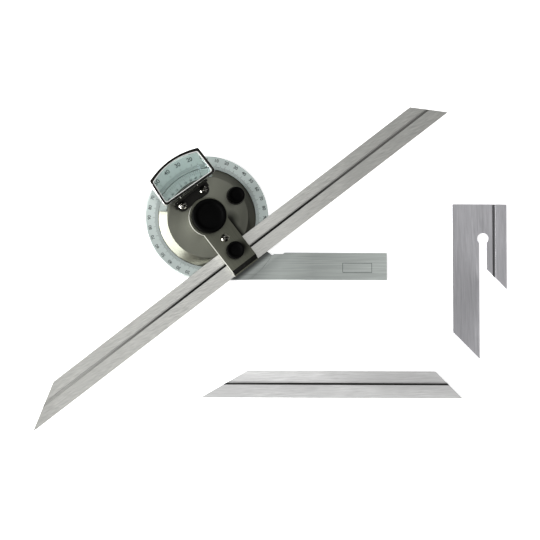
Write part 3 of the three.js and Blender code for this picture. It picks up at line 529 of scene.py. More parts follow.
# %% Turned steel
def turned_finish(name, tone, roughness, per_metre=2200, wear_and_shading=None):
    """Steel turned about the dial's axis: groove(r) = noise(k r) with r = sqrt(x^2 + y^2). wear_and_shading,
    if given, is a function that paints light and shade into the recipe's base colour."""
    recipe = Worn(name)
    radius = recipe.calculate("MULTIPLY", recipe.apart((0.0, 0.0)), per_metre)
    groove = recipe.noise(recipe.add("ShaderNodeCombineXYZ", {0: radius}).outputs[0], 1.0, 3.0, 0.7)
    cloud = recipe.noise(recipe.object_place, 60.0, 3.0)
    dark = times(tone, 0.86)
    base = recipe.blend(recipe.spread(groove, 0.0, 1.0), dark, tone)
    base = recipe.blend(recipe.spread(cloud, 0.0, 0.5), base, dark)
    if wear_and_shading:
        base = wear_and_shading(recipe, base)
    tangent = recipe.add("ShaderNodeTangent", direction_type="RADIAL", axis="Z")
    recipe.put(tangent.outputs[0], recipe.shader.inputs["Tangent"])
    return recipe.finished(base, recipe.spread(groove, roughness - 0.05, roughness + 0.06), groove,
                           0.004 * MM, 0.3, Metallic=1.0, Anisotropic=0.75, Anisotropic_Rotation=0.25)

# Painted light and shade on the disc: darker to the right, a painted knob shadow and the arm's painted
# shadow.
DISC_PAINTED_LIGHT = (math.radians(-10), (
    (-27, 1.0), (-22.6, 0.95), (-21.6, 0.55), (-16, 0.56), (-8, 0.82), (0, 0.9), (12, 0.62), (20, 0.42),
    (27, 0.5)))
DISC_PAINTED_SHADOW = ((13, -1), 1, 5.5, 0.25)
ARM_SIDE_SHADOW = (BLADE_TURN, (
    (-9, 1.0), (7.9, 1.0), (8.1, 0.04), (9.5, 0.1), (10.6, 0.6), (11.6, 1.0), (28, 1.0)))
ARM_SIDE_FROM, ARM_SIDE_FULL = 4 * MM, 11 * MM

def disc_wear(recipe, base):
    """Painted light and shade on the disc: painted shading across it, a painted shadow beside the lock
    knob, and a painted shadow line at the arm's right side, which grows from nothing to full with the
    distance below the dial's axis."""
    base = recipe.stained(recipe.tinted(base, *DISC_PAINTED_LIGHT), *DISC_PAINTED_SHADOW)
    below = recipe.spread(recipe.along(ACROSS_BLADE), 0.0, 1.0, (ARM_SIDE_FROM, ARM_SIDE_FULL))
    return recipe.blend(below, base, recipe.tinted(base, *ARM_SIDE_SHADOW))

disc_steel = turned_finish("turned_disc_steel", (0.225, 0.23, 0.19), 0.36, wear_and_shading=disc_wear)
back_steel = turned_finish("back_plate_steel", (0.46, 0.47, 0.46), 0.34, 1800)

# %% [markdown]
# The scale ring is chrome over a finely blasted surface: pale, faintly blue, with no direction to
# it. A speckle a fifth of a millimetre wide breaks the reflection, and painted light and shade run
# across the ring, darker towards the front and lighter towards the back.

# %% Satin chrome
def satin_finish(name, tone, roughness, painted_stretch):
    """Blasted and plated metal: an even speckle in colour, roughness and height, under painted light and
    shade.
    """
    recipe = Worn(name)
    speckle = recipe.noise(recipe.object_place, 5200.0, 2.0, 0.6)
    cloud = recipe.noise(recipe.object_place, 55.0, 2.0)
    dark = times(tone, 0.93)
    base = recipe.blend(recipe.spread(speckle, 0.0, 1.0), dark, tone)
    base = recipe.tinted(recipe.blend(recipe.spread(cloud, 0.0, 0.5), base, dark), *painted_stretch)
    return recipe.finished(base, recipe.spread(speckle, roughness - 0.05, roughness + 0.05), speckle,
                           0.003 * MM, 0.25, Metallic=0.85)

RING_PAINTED_LIGHT = (math.pi / 2, ((-36, 0.80), (-20, 0.86), (-4, 0.96), (15, 1.0), (28, 1.17), (36, 1.2)))
satin_chrome = satin_finish("satin_chrome", (0.545, 0.61, 0.59), 0.52, RING_PAINTED_LIGHT)

# %% [markdown]
# Screws, washers and the magnifier's frame are polished. Even polish keeps hairlines and a little
# haze, or it looks like liquid, so a fine stretched noise moves the roughness between two low values.
# The gears inside are yellow brass and the bush is blackened. The frame's pins are near-black as
# painted shade, for the shadow in the gap under the frame.

# %% Polished metal
def polished_finish(name, tone, roughness):
    """Polished metal with hairlines and a haze that comes and goes, with painted shade where a piece's layer
    marks it.
    """
    recipe = Worn(name)
    hair = recipe.noise(recipe.mapped((300, 4200, 900), 0.6), 1.0, 3.0)
    haze = recipe.noise(recipe.object_place, 240.0, 2.0)
    gloss = recipe.spread(recipe.calculate("MULTIPLY", hair, haze), roughness * 0.6, roughness * 1.8,
                          (0.15, 0.4))
    base = recipe.blend(recipe.spread(haze, 0.0, 1.0), times(tone, 0.88), tone)
    return recipe.finished(recipe.grimed(base, (0.004, 0.004, 0.003)), gloss, hair, 0.001 * MM, 0.2,
                           Metallic=1.0)

bright_steel = polished_finish("bright_steel", (0.62, 0.61, 0.58), 0.2)
frame_chrome = polished_finish("frame_chrome", (0.80, 0.80, 0.78), 0.3)
# Bright steel for the wire that paints a highlight along the frame's inner edge.
rim_highlight_wire = polished_finish("rim_highlight_wire", (0.80, 0.81, 0.79), 0.3)
screw_steel = polished_finish("screw_steel", (0.42, 0.41, 0.37), 0.13)
blackened_and_shade_steel = polished_finish("blackened_and_shade_steel", (0.045, 0.045, 0.04), 0.22)
gear_brass = polished_finish("gear_brass", (0.62, 0.45, 0.17), 0.24)

# %% [markdown]
# The scale's lines and numbers are etched and filled with ink. The knobs are black: moulded, with a
# dull even skin that only shows a faint sheen along the rim. The bracket is enamelled, glossier and
# slightly uneven, as paint on a casting is, and the arm's chamfer is painted near-black as painted shade.

# %% Ink and black finishes
def ink_finish(name, tone):
    """Etched marks filled with dark ink, worn unevenly."""
    recipe = Patterned(name)
    wear_and_shading = recipe.noise(recipe.object_place, 1400.0, 3.0, 0.7)
    base = recipe.blend(recipe.spread(wear_and_shading, 0.0, 0.8, (0.45, 0.75)), tone, times(tone, 2.4, 0.02))
    recipe.put(base, recipe.shader.inputs["Base Color"])
    return recipe.fixed(Roughness=0.65)

def black_finish(name, tone, roughness, grain_scale, grain_height, specular):
    """A black skin: a fine grain moves its roughness and its height, a slow one its shade."""
    recipe = Patterned(name)
    grain = recipe.noise(recipe.object_place, grain_scale, 3.0, 0.6)
    cloud = recipe.noise(recipe.object_place, 90.0, 2.0)
    base = recipe.blend(recipe.spread(cloud, 0.0, 0.6), tone, times(tone, 2.0, 0.001))
    return recipe.finished(base, recipe.spread(grain, roughness - 0.06, roughness + 0.08), grain,
                           grain_height, 0.3, Specular_IOR_Level=specular)

scale_ink = ink_finish("scale_ink", (0.035, 0.044, 0.042))
painted_shade_black = black_finish("painted_shade_black", (0.003, 0.003, 0.002), 0.45, 2000.0, 0.002 * MM, 0.05)
knob_black = black_finish("knob_black", (0.0006, 0.0006, 0.0006), 0.42, 3000.0, 0.01 * MM, 0.02)
enamel_black = black_finish("enamel_black", (0.004, 0.004, 0.003), 0.26, 700.0, 0.004 * MM, 0.08)

# %% [markdown]
# The lens bends what lies under it, so it is real glass with a real index. A trace of green in the
# body and the faintest smear on the surface keep it from vanishing. A lens like this is coated, so its
# reflection is weak.

# %% Lens glass
LENS_INDEX = 1.9

def lens_finish():
    """Clear optical glass with a slight tint, its surface wiped but not perfect."""
    recipe = Patterned("lens_glass")
    smear = recipe.noise(recipe.mapped((90, 400, 90), 0.9), 1.0, 3.0)
    base = recipe.blend(recipe.spread(smear, 0.0, 1.0), (0.757, 0.828, 0.814), (0.785, 0.848, 0.833))
    recipe.put(base, recipe.shader.inputs["Base Color"])
    recipe.put(recipe.spread(smear, 0.0, 0.035, (0.5, 0.8)), recipe.shader.inputs["Roughness"])
    return recipe.fixed(Transmission_Weight=1.0, IOR=LENS_INDEX, Specular_Tint=(0.12, 0.13, 0.15, 1.0))

lens_glass = lens_finish()

# %% [markdown]
# The ground in the photograph is burnt out to white. A matt pale floor with a faint mottle, which
# glows a little by itself, gives that without a brighter light on the steel.

# %% Floor finish
def floor_finish():
    """Matt white with a faint mottle and a glow of its own."""
    recipe = Patterned("floor_white")
    mottle = recipe.spread(recipe.noise(recipe.object_place, 9.0, 2.0), 0.0, 1.0)
    recipe.put(recipe.blend(mottle, (0.93,) * 3, (0.95,) * 3), recipe.shader.inputs["Base Color"])
    return recipe.fixed(Roughness=0.9, Specular_IOR_Level=0.1, Emission_Color=(1.0, 1.0, 1.0, 1.0),
                        Emission_Strength=0.75)

floor_mesh.materials.append(floor_finish())

# %% [markdown]
# New pieces have to fill the places of the imported parts, so a part is first measured along its own
# directions. The floors of grooves and the slots of screws get painted shade, for the shadow of their
# walls. Its amount is kept at each point of the piece, as an attribute, because the steels' recipes
# can read that wherever the piece goes.

# %% Measuring parts and marking painted shade
EDGE = 0.12 * MM
GROOVE_WIDTH = 1.7 * MM
GROOVE_DEPTH = 0.8 * MM

def mesh_points(mesh):
    """A mesh's points as rows of x, y, z."""
    points = np.empty(len(mesh.vertices) * 3, np.float32)
    mesh.vertices.foreach_get("co", points)
    return points.reshape(-1, 3).astype(float)

def turned_box(node, turn=BLADE_TURN):
    """The lowest and highest corner of a node, measured along directions turned about Z."""
    local = swung(mesh_points(nodes[node].data), -turn)
    return local.min(axis=0), local.max(axis=0)

def marked(piece, share):
    """Keeps, at each point of a piece, how much painted shade it gets there, from 0 to 1."""
    layer = piece.data.attributes.new(PAINTED_SHADE_LAYER, "FLOAT", "POINT")
    layer.data.foreach_set("value", np.ascontiguousarray(share, np.float32))
    print(piece.name, "has grime on", int(np.count_nonzero(share)), "points")
    return piece

def groove_grime(across, height, groove, top, stops, more=0.0):
    """Painted shade on a groove's floor alone, for its wall's shadow: f(u) + more, kept between 0 and 1,
    where u is the place across the groove, from 0 to 1, and f runs straight between the stops of (place,
    share)."""
    sunk = (height < top - GROOVE_DEPTH / 2) & (height > top - GROOVE_DEPTH * 1.2)
    inside = (across > groove - EDGE) & (across < groove + GROOVE_WIDTH + EDGE)
    share = np.interp((across - groove) / GROOVE_WIDTH, *np.transpose(stops)) + more
    return np.clip(share, 0, 1) * (sunk & inside)

# %% [markdown]
# A blade is one cross-section carried along its length: a thin rectangle with a groove in its face.
# Both ends are cut at an angle, so each point of the section starts and stops at its own place. The
# outermost stations use a slightly smaller section, which leaves a fine bevel round the cut ends.
# The groove's floor gets painted shade beside one wall, for that wall's shadow. It is painted heaviest
# near the arm, where a trace of it reaches the lit side of the floor too.

# %% Blades
GROOVE_INSET = 7.5 * MM
LEFT_CUT = math.radians(30)
RIGHT_CUT = math.radians(45)
STATIONS = 25
SHADED_SHARE, LIT_SHARE = 0.66, 0.8

def blade(node, body, turn, material, shade_stops):
    """Rows of the section: x = left(y) + share * (right(y) - left(y)), with left(y) = x0 + (y - y0) /
    tan(left cut) and right(y) = x1 - (y - y0) / tan(right cut). The stops give the share of the painted
    groove shade at places along the blade, in millimetres."""
    (x0, y0, z0), (x1, y1, z1) = turned_box(node, turn)
    groove, far_side, floor_level = y0 + GROOVE_INSET, y0 + GROOVE_INSET + GROOVE_WIDTH, z1 - GROOVE_DEPTH
    corners = [
        (y0, z0), (y1, z0), (y1, z1), (far_side, z1), (far_side, floor_level),
        (groove + LIT_SHARE * GROOVE_WIDTH, floor_level),
        (groove + SHADED_SHARE * GROOVE_WIDTH, floor_level),
        (groove, floor_level), (groove, z1), (y0, z1)]
    rounding = np.array([1, 1, 1, 0.5, 2, 0.2, 0.2, 2, 0.5, 1]) * EDGE
    section = softened(corners, rounding, 3, closed=True)
    tight = inset(section, EDGE * 0.8)
    inner = [(section, share, EDGE * (1 - 2 * share)) for share in np.linspace(0, 1, STATIONS)]
    rows = []
    for loop, share, shift in [(tight, 0, 0), *inner, (tight, 1, 0)]:
        left = x0 + (loop[:, 0] - y0) / math.tan(LEFT_CUT)
        right = x1 - (loop[:, 0] - y0) / math.tan(RIGHT_CUT)
        rows.append(np.column_stack([left + share * (right - left) + shift, loop]))
    piece = lofted(node + "_ground", swung(np.stack(rows), turn), 25.0)
    along, across, height = swung(mesh_points(piece.data), -turn).T
    more = np.interp(along / MM, *np.transpose(shade_stops)) - 1
    marked(piece, groove_grime(across, height, groove, z1, ((SHADED_SHARE, 1.0), (LIT_SHARE, 0.0)), more))
    return dress(piece, body, "ground_steel", material, node)

# How much painted shade each blade's groove gets along its length.
LONG_GROOVE_SHADE = ((-130, 0.22), (-100, 0.37), (-70, 0.72), (-40, 1.02), (-25, 1.24), (25, 1.26),
              (45, 1.06), (75, 0.82), (125, 0.66))
spare_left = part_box("short_blade")[0].x / MM
SPARE_GROOVE_SHADE = ((spare_left, 0.9), (spare_left + 75, 1.04), (spare_left + 133, 0.97))
blade("long_blade", "blade", BLADE_TURN, long_blade_steel, LONG_GROOVE_SHADE)
blade("short_blade", "spare_blade", 0.0, short_blade_steel, SPARE_GROOVE_SHADE)

# %% [markdown]
# The attachment is a flat plate with two pointed legs, a keyhole slot and a groove in its short leg.
# The imported part already has that outline, so its copy only gets soft edges and painted shade in its
# groove, for the shadow of the groove's left wall, which thickens from one side of the groove's floor to the
# other.

# %% Acute-angle attachment
ATTACHMENT_GROOVE = 6.3 * MM
attachment = softened_copy("acute_attachment", "attachment_ground", EDGE)
attachment_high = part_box("acute_attachment")[1]
from_left, _, height = mesh_points(attachment.data).T
marked(attachment, groove_grime(attachment_high.x - from_left, height, ATTACHMENT_GROOVE,
                                attachment_high.z, ((0.0, 0.45), (1.0, 1.0))))
dress(attachment, "attachment", "ground_steel", attachment_steel, "acute_attachment")

# %% [markdown]
# The stock and its dial plate are one body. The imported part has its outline, its step and its notch,
# so its copy only gets soft edges.

# %% Stock
STOCK_EDGE = 0.15 * MM
dress(softened_copy("stock_body", "stock_ground", STOCK_EDGE),
      "stock", "stock_steel", stock_steel, "stock_body")

# %% [markdown]
# Scale lines are etched and filled with ink. Each line here is a thin bar that ends a hundredth of a
# millimetre above the steel, and all bars of one scale are a single mesh. The place where a maker
# would etch a name is left as a bare panel inside a fine border.

# %% Etched lines and the bare panel
MARK_DEPTH = 0.02 * MM
MARK_PROUD = 0.012 * MM

def raised(outline, level):
    """Flat points (x, y) with the height z = level."""
    return np.concatenate([outline, np.full((*outline.shape[:-1], 1), level)], axis=-1)

def bars(name, starts, ends, width, face):
    """Thin closed bars between pairs of points: each has a corner at start or end, plus or minus
    half its width across, a little below and a little above the face that they are etched in."""
    along = ends - starts
    across = np.stack([-along[:, 1], along[:, 0]], axis=1)
    across *= (width / 2) / np.linalg.norm(across, axis=1, keepdims=True)
    ring = np.stack([starts - across, ends - across, ends + across, starts + across], axis=1)
    points = np.concatenate([raised(ring, face - MARK_DEPTH), raised(ring, face + MARK_PROUD)], axis=1)
    pattern = np.array([(0, 3, 2, 1), (4, 5, 6, 7), (0, 1, 5, 4), (1, 2, 6, 5), (2, 3, 7, 6), (3, 0, 4, 7)])
    faces = (pattern[None] + 8 * np.arange(len(starts))[:, None, None]).reshape(-1, 4)
    return mesh_piece(name, points, faces.tolist())

def inked(piece, body):
    """Gives etched marks their ink."""
    return dress(piece, body, "satin_chrome", scale_ink)

PANEL_LEFT, PANEL_RIGHT = 77.2 * MM, 93.8 * MM
PANEL_FRONT, PANEL_BACK = -30.9 * MM, -25.6 * MM
BORDER_WIDTH = 0.28 * MM
panel_corners = np.array([(PANEL_LEFT, PANEL_FRONT), (PANEL_RIGHT, PANEL_FRONT),
                          (PANEL_RIGHT, PANEL_BACK), (PANEL_LEFT, PANEL_BACK)])
inked(bars("etched_border", panel_corners, np.roll(panel_corners, -1, axis=0), BORDER_WIDTH,
           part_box("stock_body")[1].z), "stock")

# %% [markdown]
# The scale ring is a profile turned about the dial's axis. Its lines are three hundred and sixty
# thin bars in one mesh: every fifth is longer, every tenth the longest.

# %% Scale ring and its lines
DIAL_SIDES = 256
ring_low, ring_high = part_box("scale_ring")
RING_GAP = 0.3 * MM
RING_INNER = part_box("swivel_disc")[1].y + RING_GAP

ring_profile = softened([
    (RING_INNER, ring_low.z), (ring_high.x, ring_low.z), (ring_high.x, ring_high.z),
    (RING_INNER, ring_high.z)], np.array([0.05, 0.1, 0.3, 0.08]) * MM, 4, closed=True)
ring_profile = np.vstack([ring_profile, ring_profile[:1]])
dress(turned_piece("scale_ring_plated", ring_profile, DIAL_SIDES),
      "stock", "satin_chrome", satin_chrome, "scale_ring")

LINE_WIDTH = 0.16 * MM

def scale_lines(name, body, angles, inner, outer, top):
    """Radial bars from the inner to the outer radius at each angle: r (cos a, sin a)."""
    direction = np.stack([np.cos(angles), np.sin(angles)], axis=1)
    starts, ends = (direction * np.reshape(radius, (-1, 1)) for radius in (inner, outer))
    return inked(bars(name, starts, ends, LINE_WIDTH, top), body)

degrees = np.arange(360)
LINE_START = RING_INNER + 0.15 * MM
line_length = np.where(degrees % 10 == 0, 2.9, np.where(degrees % 5 == 0, 2.3, 1.7)) * MM
scale_lines("scale_lines", "stock", np.radians(degrees), LINE_START, LINE_START + line_length, ring_high.z)

# %% [markdown]
# The numbers are Blender's own plain digits. Each label is typeset once, made a mesh and measured;
# its points are then turned and moved to each place with numpy, and all of them become one piece.

# %% Numbers
DIGIT_THICKENING = 0.025
DIGIT_EXTRUDE = 0.01

def label_points(text, height):
    """A label's points about its middle, scaled so that its digits are that high, and its faces. The
    heights are left as -1 and 1."""
    curve = bpy.data.curves.new("label", "FONT")
    curve.body = text
    curve.extrude = DIGIT_EXTRUDE
    curve.offset = DIGIT_THICKENING
    curve.resolution_u = 3
    holder = bpy.data.objects.new("label", curve)
    bpy.context.scene.collection.objects.link(holder)
    mesh = bpy.data.meshes.new_from_object(holder)
    points = mesh_points(mesh)
    faces = [list(face.vertices) for face in mesh.polygons]
    bpy.data.objects.remove(holder)
    bpy.data.curves.remove(curve)
    bpy.data.meshes.remove(mesh)
    centre = (points.min(axis=0) + points.max(axis=0)) / 2
    scale = height / (points[:, 1].max() - points[:, 1].min())
    points = (points - centre) * scale
    points[:, 2] = np.sign(points[:, 2])
    return points, faces

def numbers(name, body, labels, angles, radius, height, top):
    """Labels with their tops outwards: P' = R(a - 90 degrees) P + r (cos a, sin a)."""
    library = {text: label_points(text, height) for text in sorted(set(labels))}
    all_points = []
    all_faces = []
    count = 0
    for text, angle in zip(labels, angles):
        points, faces = library[text]
        placed = swung(points, angle - math.pi / 2)
        placed[:, :2] += radius * np.array((math.cos(angle), math.sin(angle)))
        middle_height = top + (MARK_PROUD - MARK_DEPTH) / 2
        placed[:, 2] = middle_height + points[:, 2] * (MARK_PROUD + MARK_DEPTH) / 2
        all_points.append(placed)
        all_faces += [[corner + count for corner in face] for face in faces]
        count += len(points)
    return inked(mesh_piece(name, np.vstack(all_points), all_faces), body)

NUMBER_RADIUS, NUMBER_HEIGHT = 33.0 * MM, 1.9 * MM
places = np.arange(0, 360, 10)
quadrant = places % 180
reading = np.where(quadrant > 90, 180 - quadrant, quadrant)
numbers("scale_numbers", "stock", [str(value) for value in reading], np.radians(90 - places),
        NUMBER_RADIUS, NUMBER_HEIGHT, ring_high.z)

# %% [markdown]
# The swivel disc is turned: a conical bevel rises from the vernier's level to a flat top, and one
# side is cut straight, where the blade seats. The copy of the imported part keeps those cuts.

# %% Swivel disc
dress(softened_copy("swivel_disc", "swivel_disc_turned", EDGE),
      "swivel", "turned_steel", disc_steel, "swivel_disc")

# %% [markdown]
# The arm's face is dark ground steel. Its long left wall gets a lighter, less metallic steel as painted
# light, and the chamfer at its end a near-black as painted shade, so those faces get finishes of their
# own. Each face is told by its normal, turned into the blade's directions. A painted shadow of the clamp
# knob darkens the steel beside it, and the face is painted lighter towards its left side.

# %% Arm
ARM_EDGE = 0.22 * MM
TILTED = 0.3
# Painted light on the arm's face, lighter to the left, and the clamp knob's painted shadow.
ARM_PAINTED_LIGHT = (BLADE_TURN, ((-9, 1.3), (-6, 1.1), (-1, 0.95), (9, 0.88)))
clamp_knob = middle("clamp_knob") / MM
ARM_PAINTED_SHADOW = ((clamp_knob[0] + 4.0, clamp_knob[1] + 2.0), 1.5, 5.5, 0.08)
arm_steel = ground_finish("arm_steel", (0.092, 0.094, 0.074), BLADE_TURN + math.pi / 2, (60, 1300),
                          0.34, 0.12, (ARM_PAINTED_LIGHT,), painted_shadow_spot=ARM_PAINTED_SHADOW)
# The left wall's lighter, less metallic steel is painted light.
lit_wall_steel = ground_finish("arm_lit_wall_steel", (0.36, 0.36, 0.33), 0.0, (300, 900), 0.5, 0.06, metal=0.4)

arm = dress(softened_copy("arm", "arm_ground", ARM_EDGE, 3), "swivel", "turned_steel", arm_steel, "arm")
arm.data.materials.append(lit_wall_steel)
arm.data.materials.append(painted_shade_black)
facing = np.empty(len(arm.data.polygons) * 3, np.float32)
arm.data.polygons.foreach_get("normal", facing)
facing = swung(facing.reshape(-1, 3), -BLADE_TURN)
lit_left_wall = facing[:, 0] < -TILTED
shaded_chamfer = (facing[:, 1] < -TILTED) & (facing[:, 2] > TILTED)
arm.data.polygons.foreach_set("material_index", (lit_left_wall + 2 * shaded_chamfer).astype(np.int32))
print("bare faces of the arm:", int(lit_left_wall.sum()), "darker ones:", int(shaded_chamfer.sum()))

# %% [markdown]
# The vernier is a sector let in level with the ring. Its outline is two arcs joined by straight
# ends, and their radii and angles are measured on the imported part.

# %% Vernier
VERNIER_EDGE = 0.06 * MM
ARC_POINTS = 61
plate_low, plate_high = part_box("vernier_plate")
plate_points = swung(mesh_points(nodes["vernier_plate"].data), -BLADE_TURN)
plate_radius = np.hypot(plate_points[:, 0], plate_points[:, 1])
plate_angle = np.arctan2(plate_points[:, 1], plate_points[:, 0])
arc = np.linspace(plate_angle.min(), plate_angle.max(), ARC_POINTS)
circle = np.stack([np.cos(arc), np.sin(arc)], axis=1)
outline = np.vstack([plate_radius.max() * circle, plate_radius.min() * circle[::-1]])
tight = inset(outline, VERNIER_EDGE)
rows = np.stack([raised(tight, plate_low.z), raised(outline, plate_low.z + VERNIER_EDGE),
                 raised(outline, plate_high.z - VERNIER_EDGE), raised(tight, plate_high.z)])
dress(lofted("vernier_plated", swung(rows)), "swivel", "satin_chrome", satin_chrome, "vernier_plate")
print("vernier plate, degrees:", round(math.degrees(arc[-1] - arc[0]), 1))

# %% [markdown]
# Twenty-four divisions of the vernier span forty-six degrees, so each is a twelfth of a degree short
# of two degrees. That twelfth is the five minutes that the tool can read. Every third line carries
# its minutes.

# %% Vernier lines and numbers
DIVISION = math.radians(23 / 12)
MINUTES_RADIUS, MINUTES_HEIGHT = 24.4 * MM, 1.0 * MM
steps = np.arange(-12, 13)
step_angles = BLADE_TURN + math.pi / 2 + steps * DIVISION
step_length = np.where(steps % 6 == 0, 2.5, np.where(steps % 3 == 0, 2.0, 1.5)) * MM
line_end = plate_radius.max() - VERNIER_EDGE
scale_lines("vernier_lines", "swivel", step_angles, line_end - step_length, line_end, plate_high.z)
numbers("vernier_numbers", "swivel", [str(abs(step) * 5) for step in steps[::3]], step_angles[::3],
        MINUTES_RADIUS, MINUTES_HEIGHT, plate_high.z)

# %% [markdown]
# A knob is turned from one profile: bore, recess, side wall, rounded rim and dished top. Its wall is
# knurled for grip. The knurl scales the radius by a row of rounded ridges, and fades out before the
# rims, as a knurling wheel leaves it.

# %% Knobs
def filled(profile, longest):
    """The same profile with its long sides split, so that no step is longer than longest."""
    reach = np.linalg.norm(np.diff(profile, axis=0), axis=1)
    pieces = np.maximum(np.ceil(reach / longest), 1).astype(int)
    start = np.repeat(np.arange(len(pieces)), pieces)
    step = np.arange(len(start)) - np.repeat(np.cumsum(pieces) - pieces, pieces)
    share = (step / pieces[start])[:, None]
    points = profile[start] * (1 - share) + profile[start + 1] * share
    return np.vstack([points, profile[-1:]])

def cad_circle(node):
    """The centre, largest radius, and lowest and highest level of an upright turned CAD part."""
    low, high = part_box(node)
    centre = ((low + high) / 2).xy
    points = mesh_points(nodes[node].data)[:, :2] - centre
    return tuple(centre), float(np.hypot(*points.T).max()), low.z, high.z

KNURL_DEPTH = 0.16 * MM
KNURL_FADE = 0.55 * MM
FOOT_ROUND = 0.5 * MM
RIM_ROUND = 1.1 * MM
KNOB_STEP = 0.35 * MM

def knob(node, body, sizes, ridges):
    """ridge(a) = sin(n a / 2)^2, and on the side wall r' = r - depth * fade(z) * ridge(a). The sizes
    are the recess's radius and height, the bore's radius, the roof over it, and the radius and depth
    of the dish, in millimetres."""
    recess, recess_height, bore, roof, dish, dish_depth = np.array(sizes) * MM
    centre, radius, bottom, top = cad_circle(node)
    profile = softened([
        (0, top - roof), (bore, top - roof), (bore, bottom + recess_height),
        (recess, bottom + recess_height), (recess, bottom), (radius, bottom), (radius, top), (dish, top),
        (dish - dish_depth * 2.2, top - dish_depth), (0, top - dish_depth)],
        np.array([0, 0.1, 0.1, 0.2, 0.15, FOOT_ROUND / MM, RIM_ROUND / MM, 0.5, 0.9, 0]) * MM, 7)
    profile = filled(profile, KNOB_STEP)
    level = profile[:, 1]
    wall = profile[:, 0] > radius - 0.02 * MM
    fade = np.clip((level - bottom - FOOT_ROUND) / KNURL_FADE, 0, 1)
    fade *= np.clip((top - RIM_ROUND - level) / KNURL_FADE, 0, 1) * wall
    sides = ridges * 8
    ridge = np.sin(ridges * np.arange(sides) * math.pi / sides) ** 2
    ripple = 1 - (fade[:, None] * ridge[None, :]) * KNURL_DEPTH / radius
    piece = turned_piece(node + "_moulded", profile, sides, centre, ripple, 50.0)
    return dress(piece, body, "black_plastic", knob_black, node)

knob("lock_knob", "lock_nut", (7.8, 2.2, 4.3, 1.5, 8.0, 0.6), 72)
knob("fine_knob", "fine_adjuster", (2.3, 0.5, 1.5, 1.2, 3.6, 0.4), 40)
knob("clamp_knob", "blade_lock", (3.9, 1.7, 1.8, 1.5, 3.8, 0.4), 40)

# %% [markdown]
# A slotted screw head is a stack of sections across the slot. Each section is the slice of the head
# at a distance u from its middle: v = sqrt(r^2 - u^2) at each radius of the profile, with the slot's
# own stations sunk to its floor. Where u is past a radius, the slice stops where the cone is that
# wide. The same steps give the domed heads on top and the countersunk ones at the back.

# %% A slotted head
SLOT_WIDTH = 0.7 * MM
SLOT_LIP = 0.05 * MM
JUST_INSIDE = 0.9999
HEAD_STEPS, TOP_POINTS, SIDE_POINTS = 12, 17, 6

def slotted_head(radius, foot_radius, foot, crown, slot_depth):
    """Rows of points: z = crown * (1 - (r / R)^2) on top, and a side that runs from the rim, at z = 0
    and r = R, down to z = -foot at the foot's radius."""
    half = SLOT_WIDTH / 2
    lip = half + SLOT_LIP
    outer = lip + (radius * JUST_INSIDE - lip) * np.sin(np.linspace(0, math.pi / 2, HEAD_STEPS))
    one_side = np.concatenate([-outer[::-1], [-half, SLOT_LIP - half]])
    sunk_side = np.concatenate([np.zeros(HEAD_STEPS), [SLOT_LIP, slot_depth]])
    u = np.concatenate([one_side, [0.0], -one_side[::-1]])[:, None]
    sunk = np.concatenate([sunk_side, [slot_depth], sunk_side[::-1]])[:, None]
    top_v = np.linspace(-1, 1, TOP_POINTS)[None, :] * np.sqrt(radius ** 2 - u ** 2)
    top_z = crown * (1 - (u ** 2 + top_v ** 2) / radius ** 2) - sunk
    share = np.linspace(0, 1, SIDE_POINTS)[None, :]
    narrowest = np.maximum(foot_radius, np.abs(u))
    side_radius = radius + (narrowest - radius) * share
    if foot_radius < radius:
        side_z = -foot * (radius - side_radius) / (radius - foot_radius)
    else:
        side_z = -foot * share + 0 * u
    side_z = np.minimum(side_z, top_z[:, :1])
    side_v = np.sqrt(np.maximum(side_radius ** 2 - u ** 2, 0))
    section_v = np.concatenate([top_v, side_v, -side_v[:, ::-1]], axis=1)
    section_z = np.concatenate([top_z, side_z, side_z[:, ::-1]], axis=1)
    return np.stack([np.broadcast_to(u, section_v.shape), section_v, section_z], axis=-1)

SHANK_SIDES = 24
SHANK_OVERLAP = 0.05 * MM

def closed_faces(rows, columns, first):
    """The quads of a grid and the faces at its two ends, counted from its first point."""
    count = rows * columns
    faces = strip_faces(rows, columns) + [list(range(columns)), list(range(count - columns, count))]
    return [[corner + first for corner in face] for face in faces]

def screw_piece(node, head, shank, depth, place, turn, facing):
    """The head and its shank as one mesh, turned about Z, then facing up (1) or down (-1)."""
    angle = np.arange(SHANK_SIDES) * 2 * math.pi / SHANK_SIDES
    circle = shank * np.stack([np.cos(angle), np.sin(angle)], axis=1)
    rod = np.vstack([raised(circle, head[..., 2].min() + SHANK_OVERLAP), raised(circle, -depth)])
    head_points = head.reshape(-1, 3)
    points = swung(np.vstack([head_points, rod]), turn) * (1, 1, facing) + np.asarray(place)
    faces = closed_faces(*head.shape[:2], 0) + closed_faces(2, SHANK_SIDES, len(head_points))
    return mesh_piece(node + "_polished", points, faces, 35.0)

# %% [markdown]
# No two slots point the same way, because each screw was only turned until it was tight. The three
# screws on top have a head about 4.4 mm wide and 1.3 mm high, and their slots are painted dark as
# painted shade, for the shadow inside them. The others are countersunk from below, with their heads
# level with the steel around them.

# %% Screws on top and at the back
CROWN = 0.85 * MM
CROWN_FOOT = 0.45 * MM
CROWN_SLOT = 0.38 * MM
TOP_SHANK = 1.2 * MM

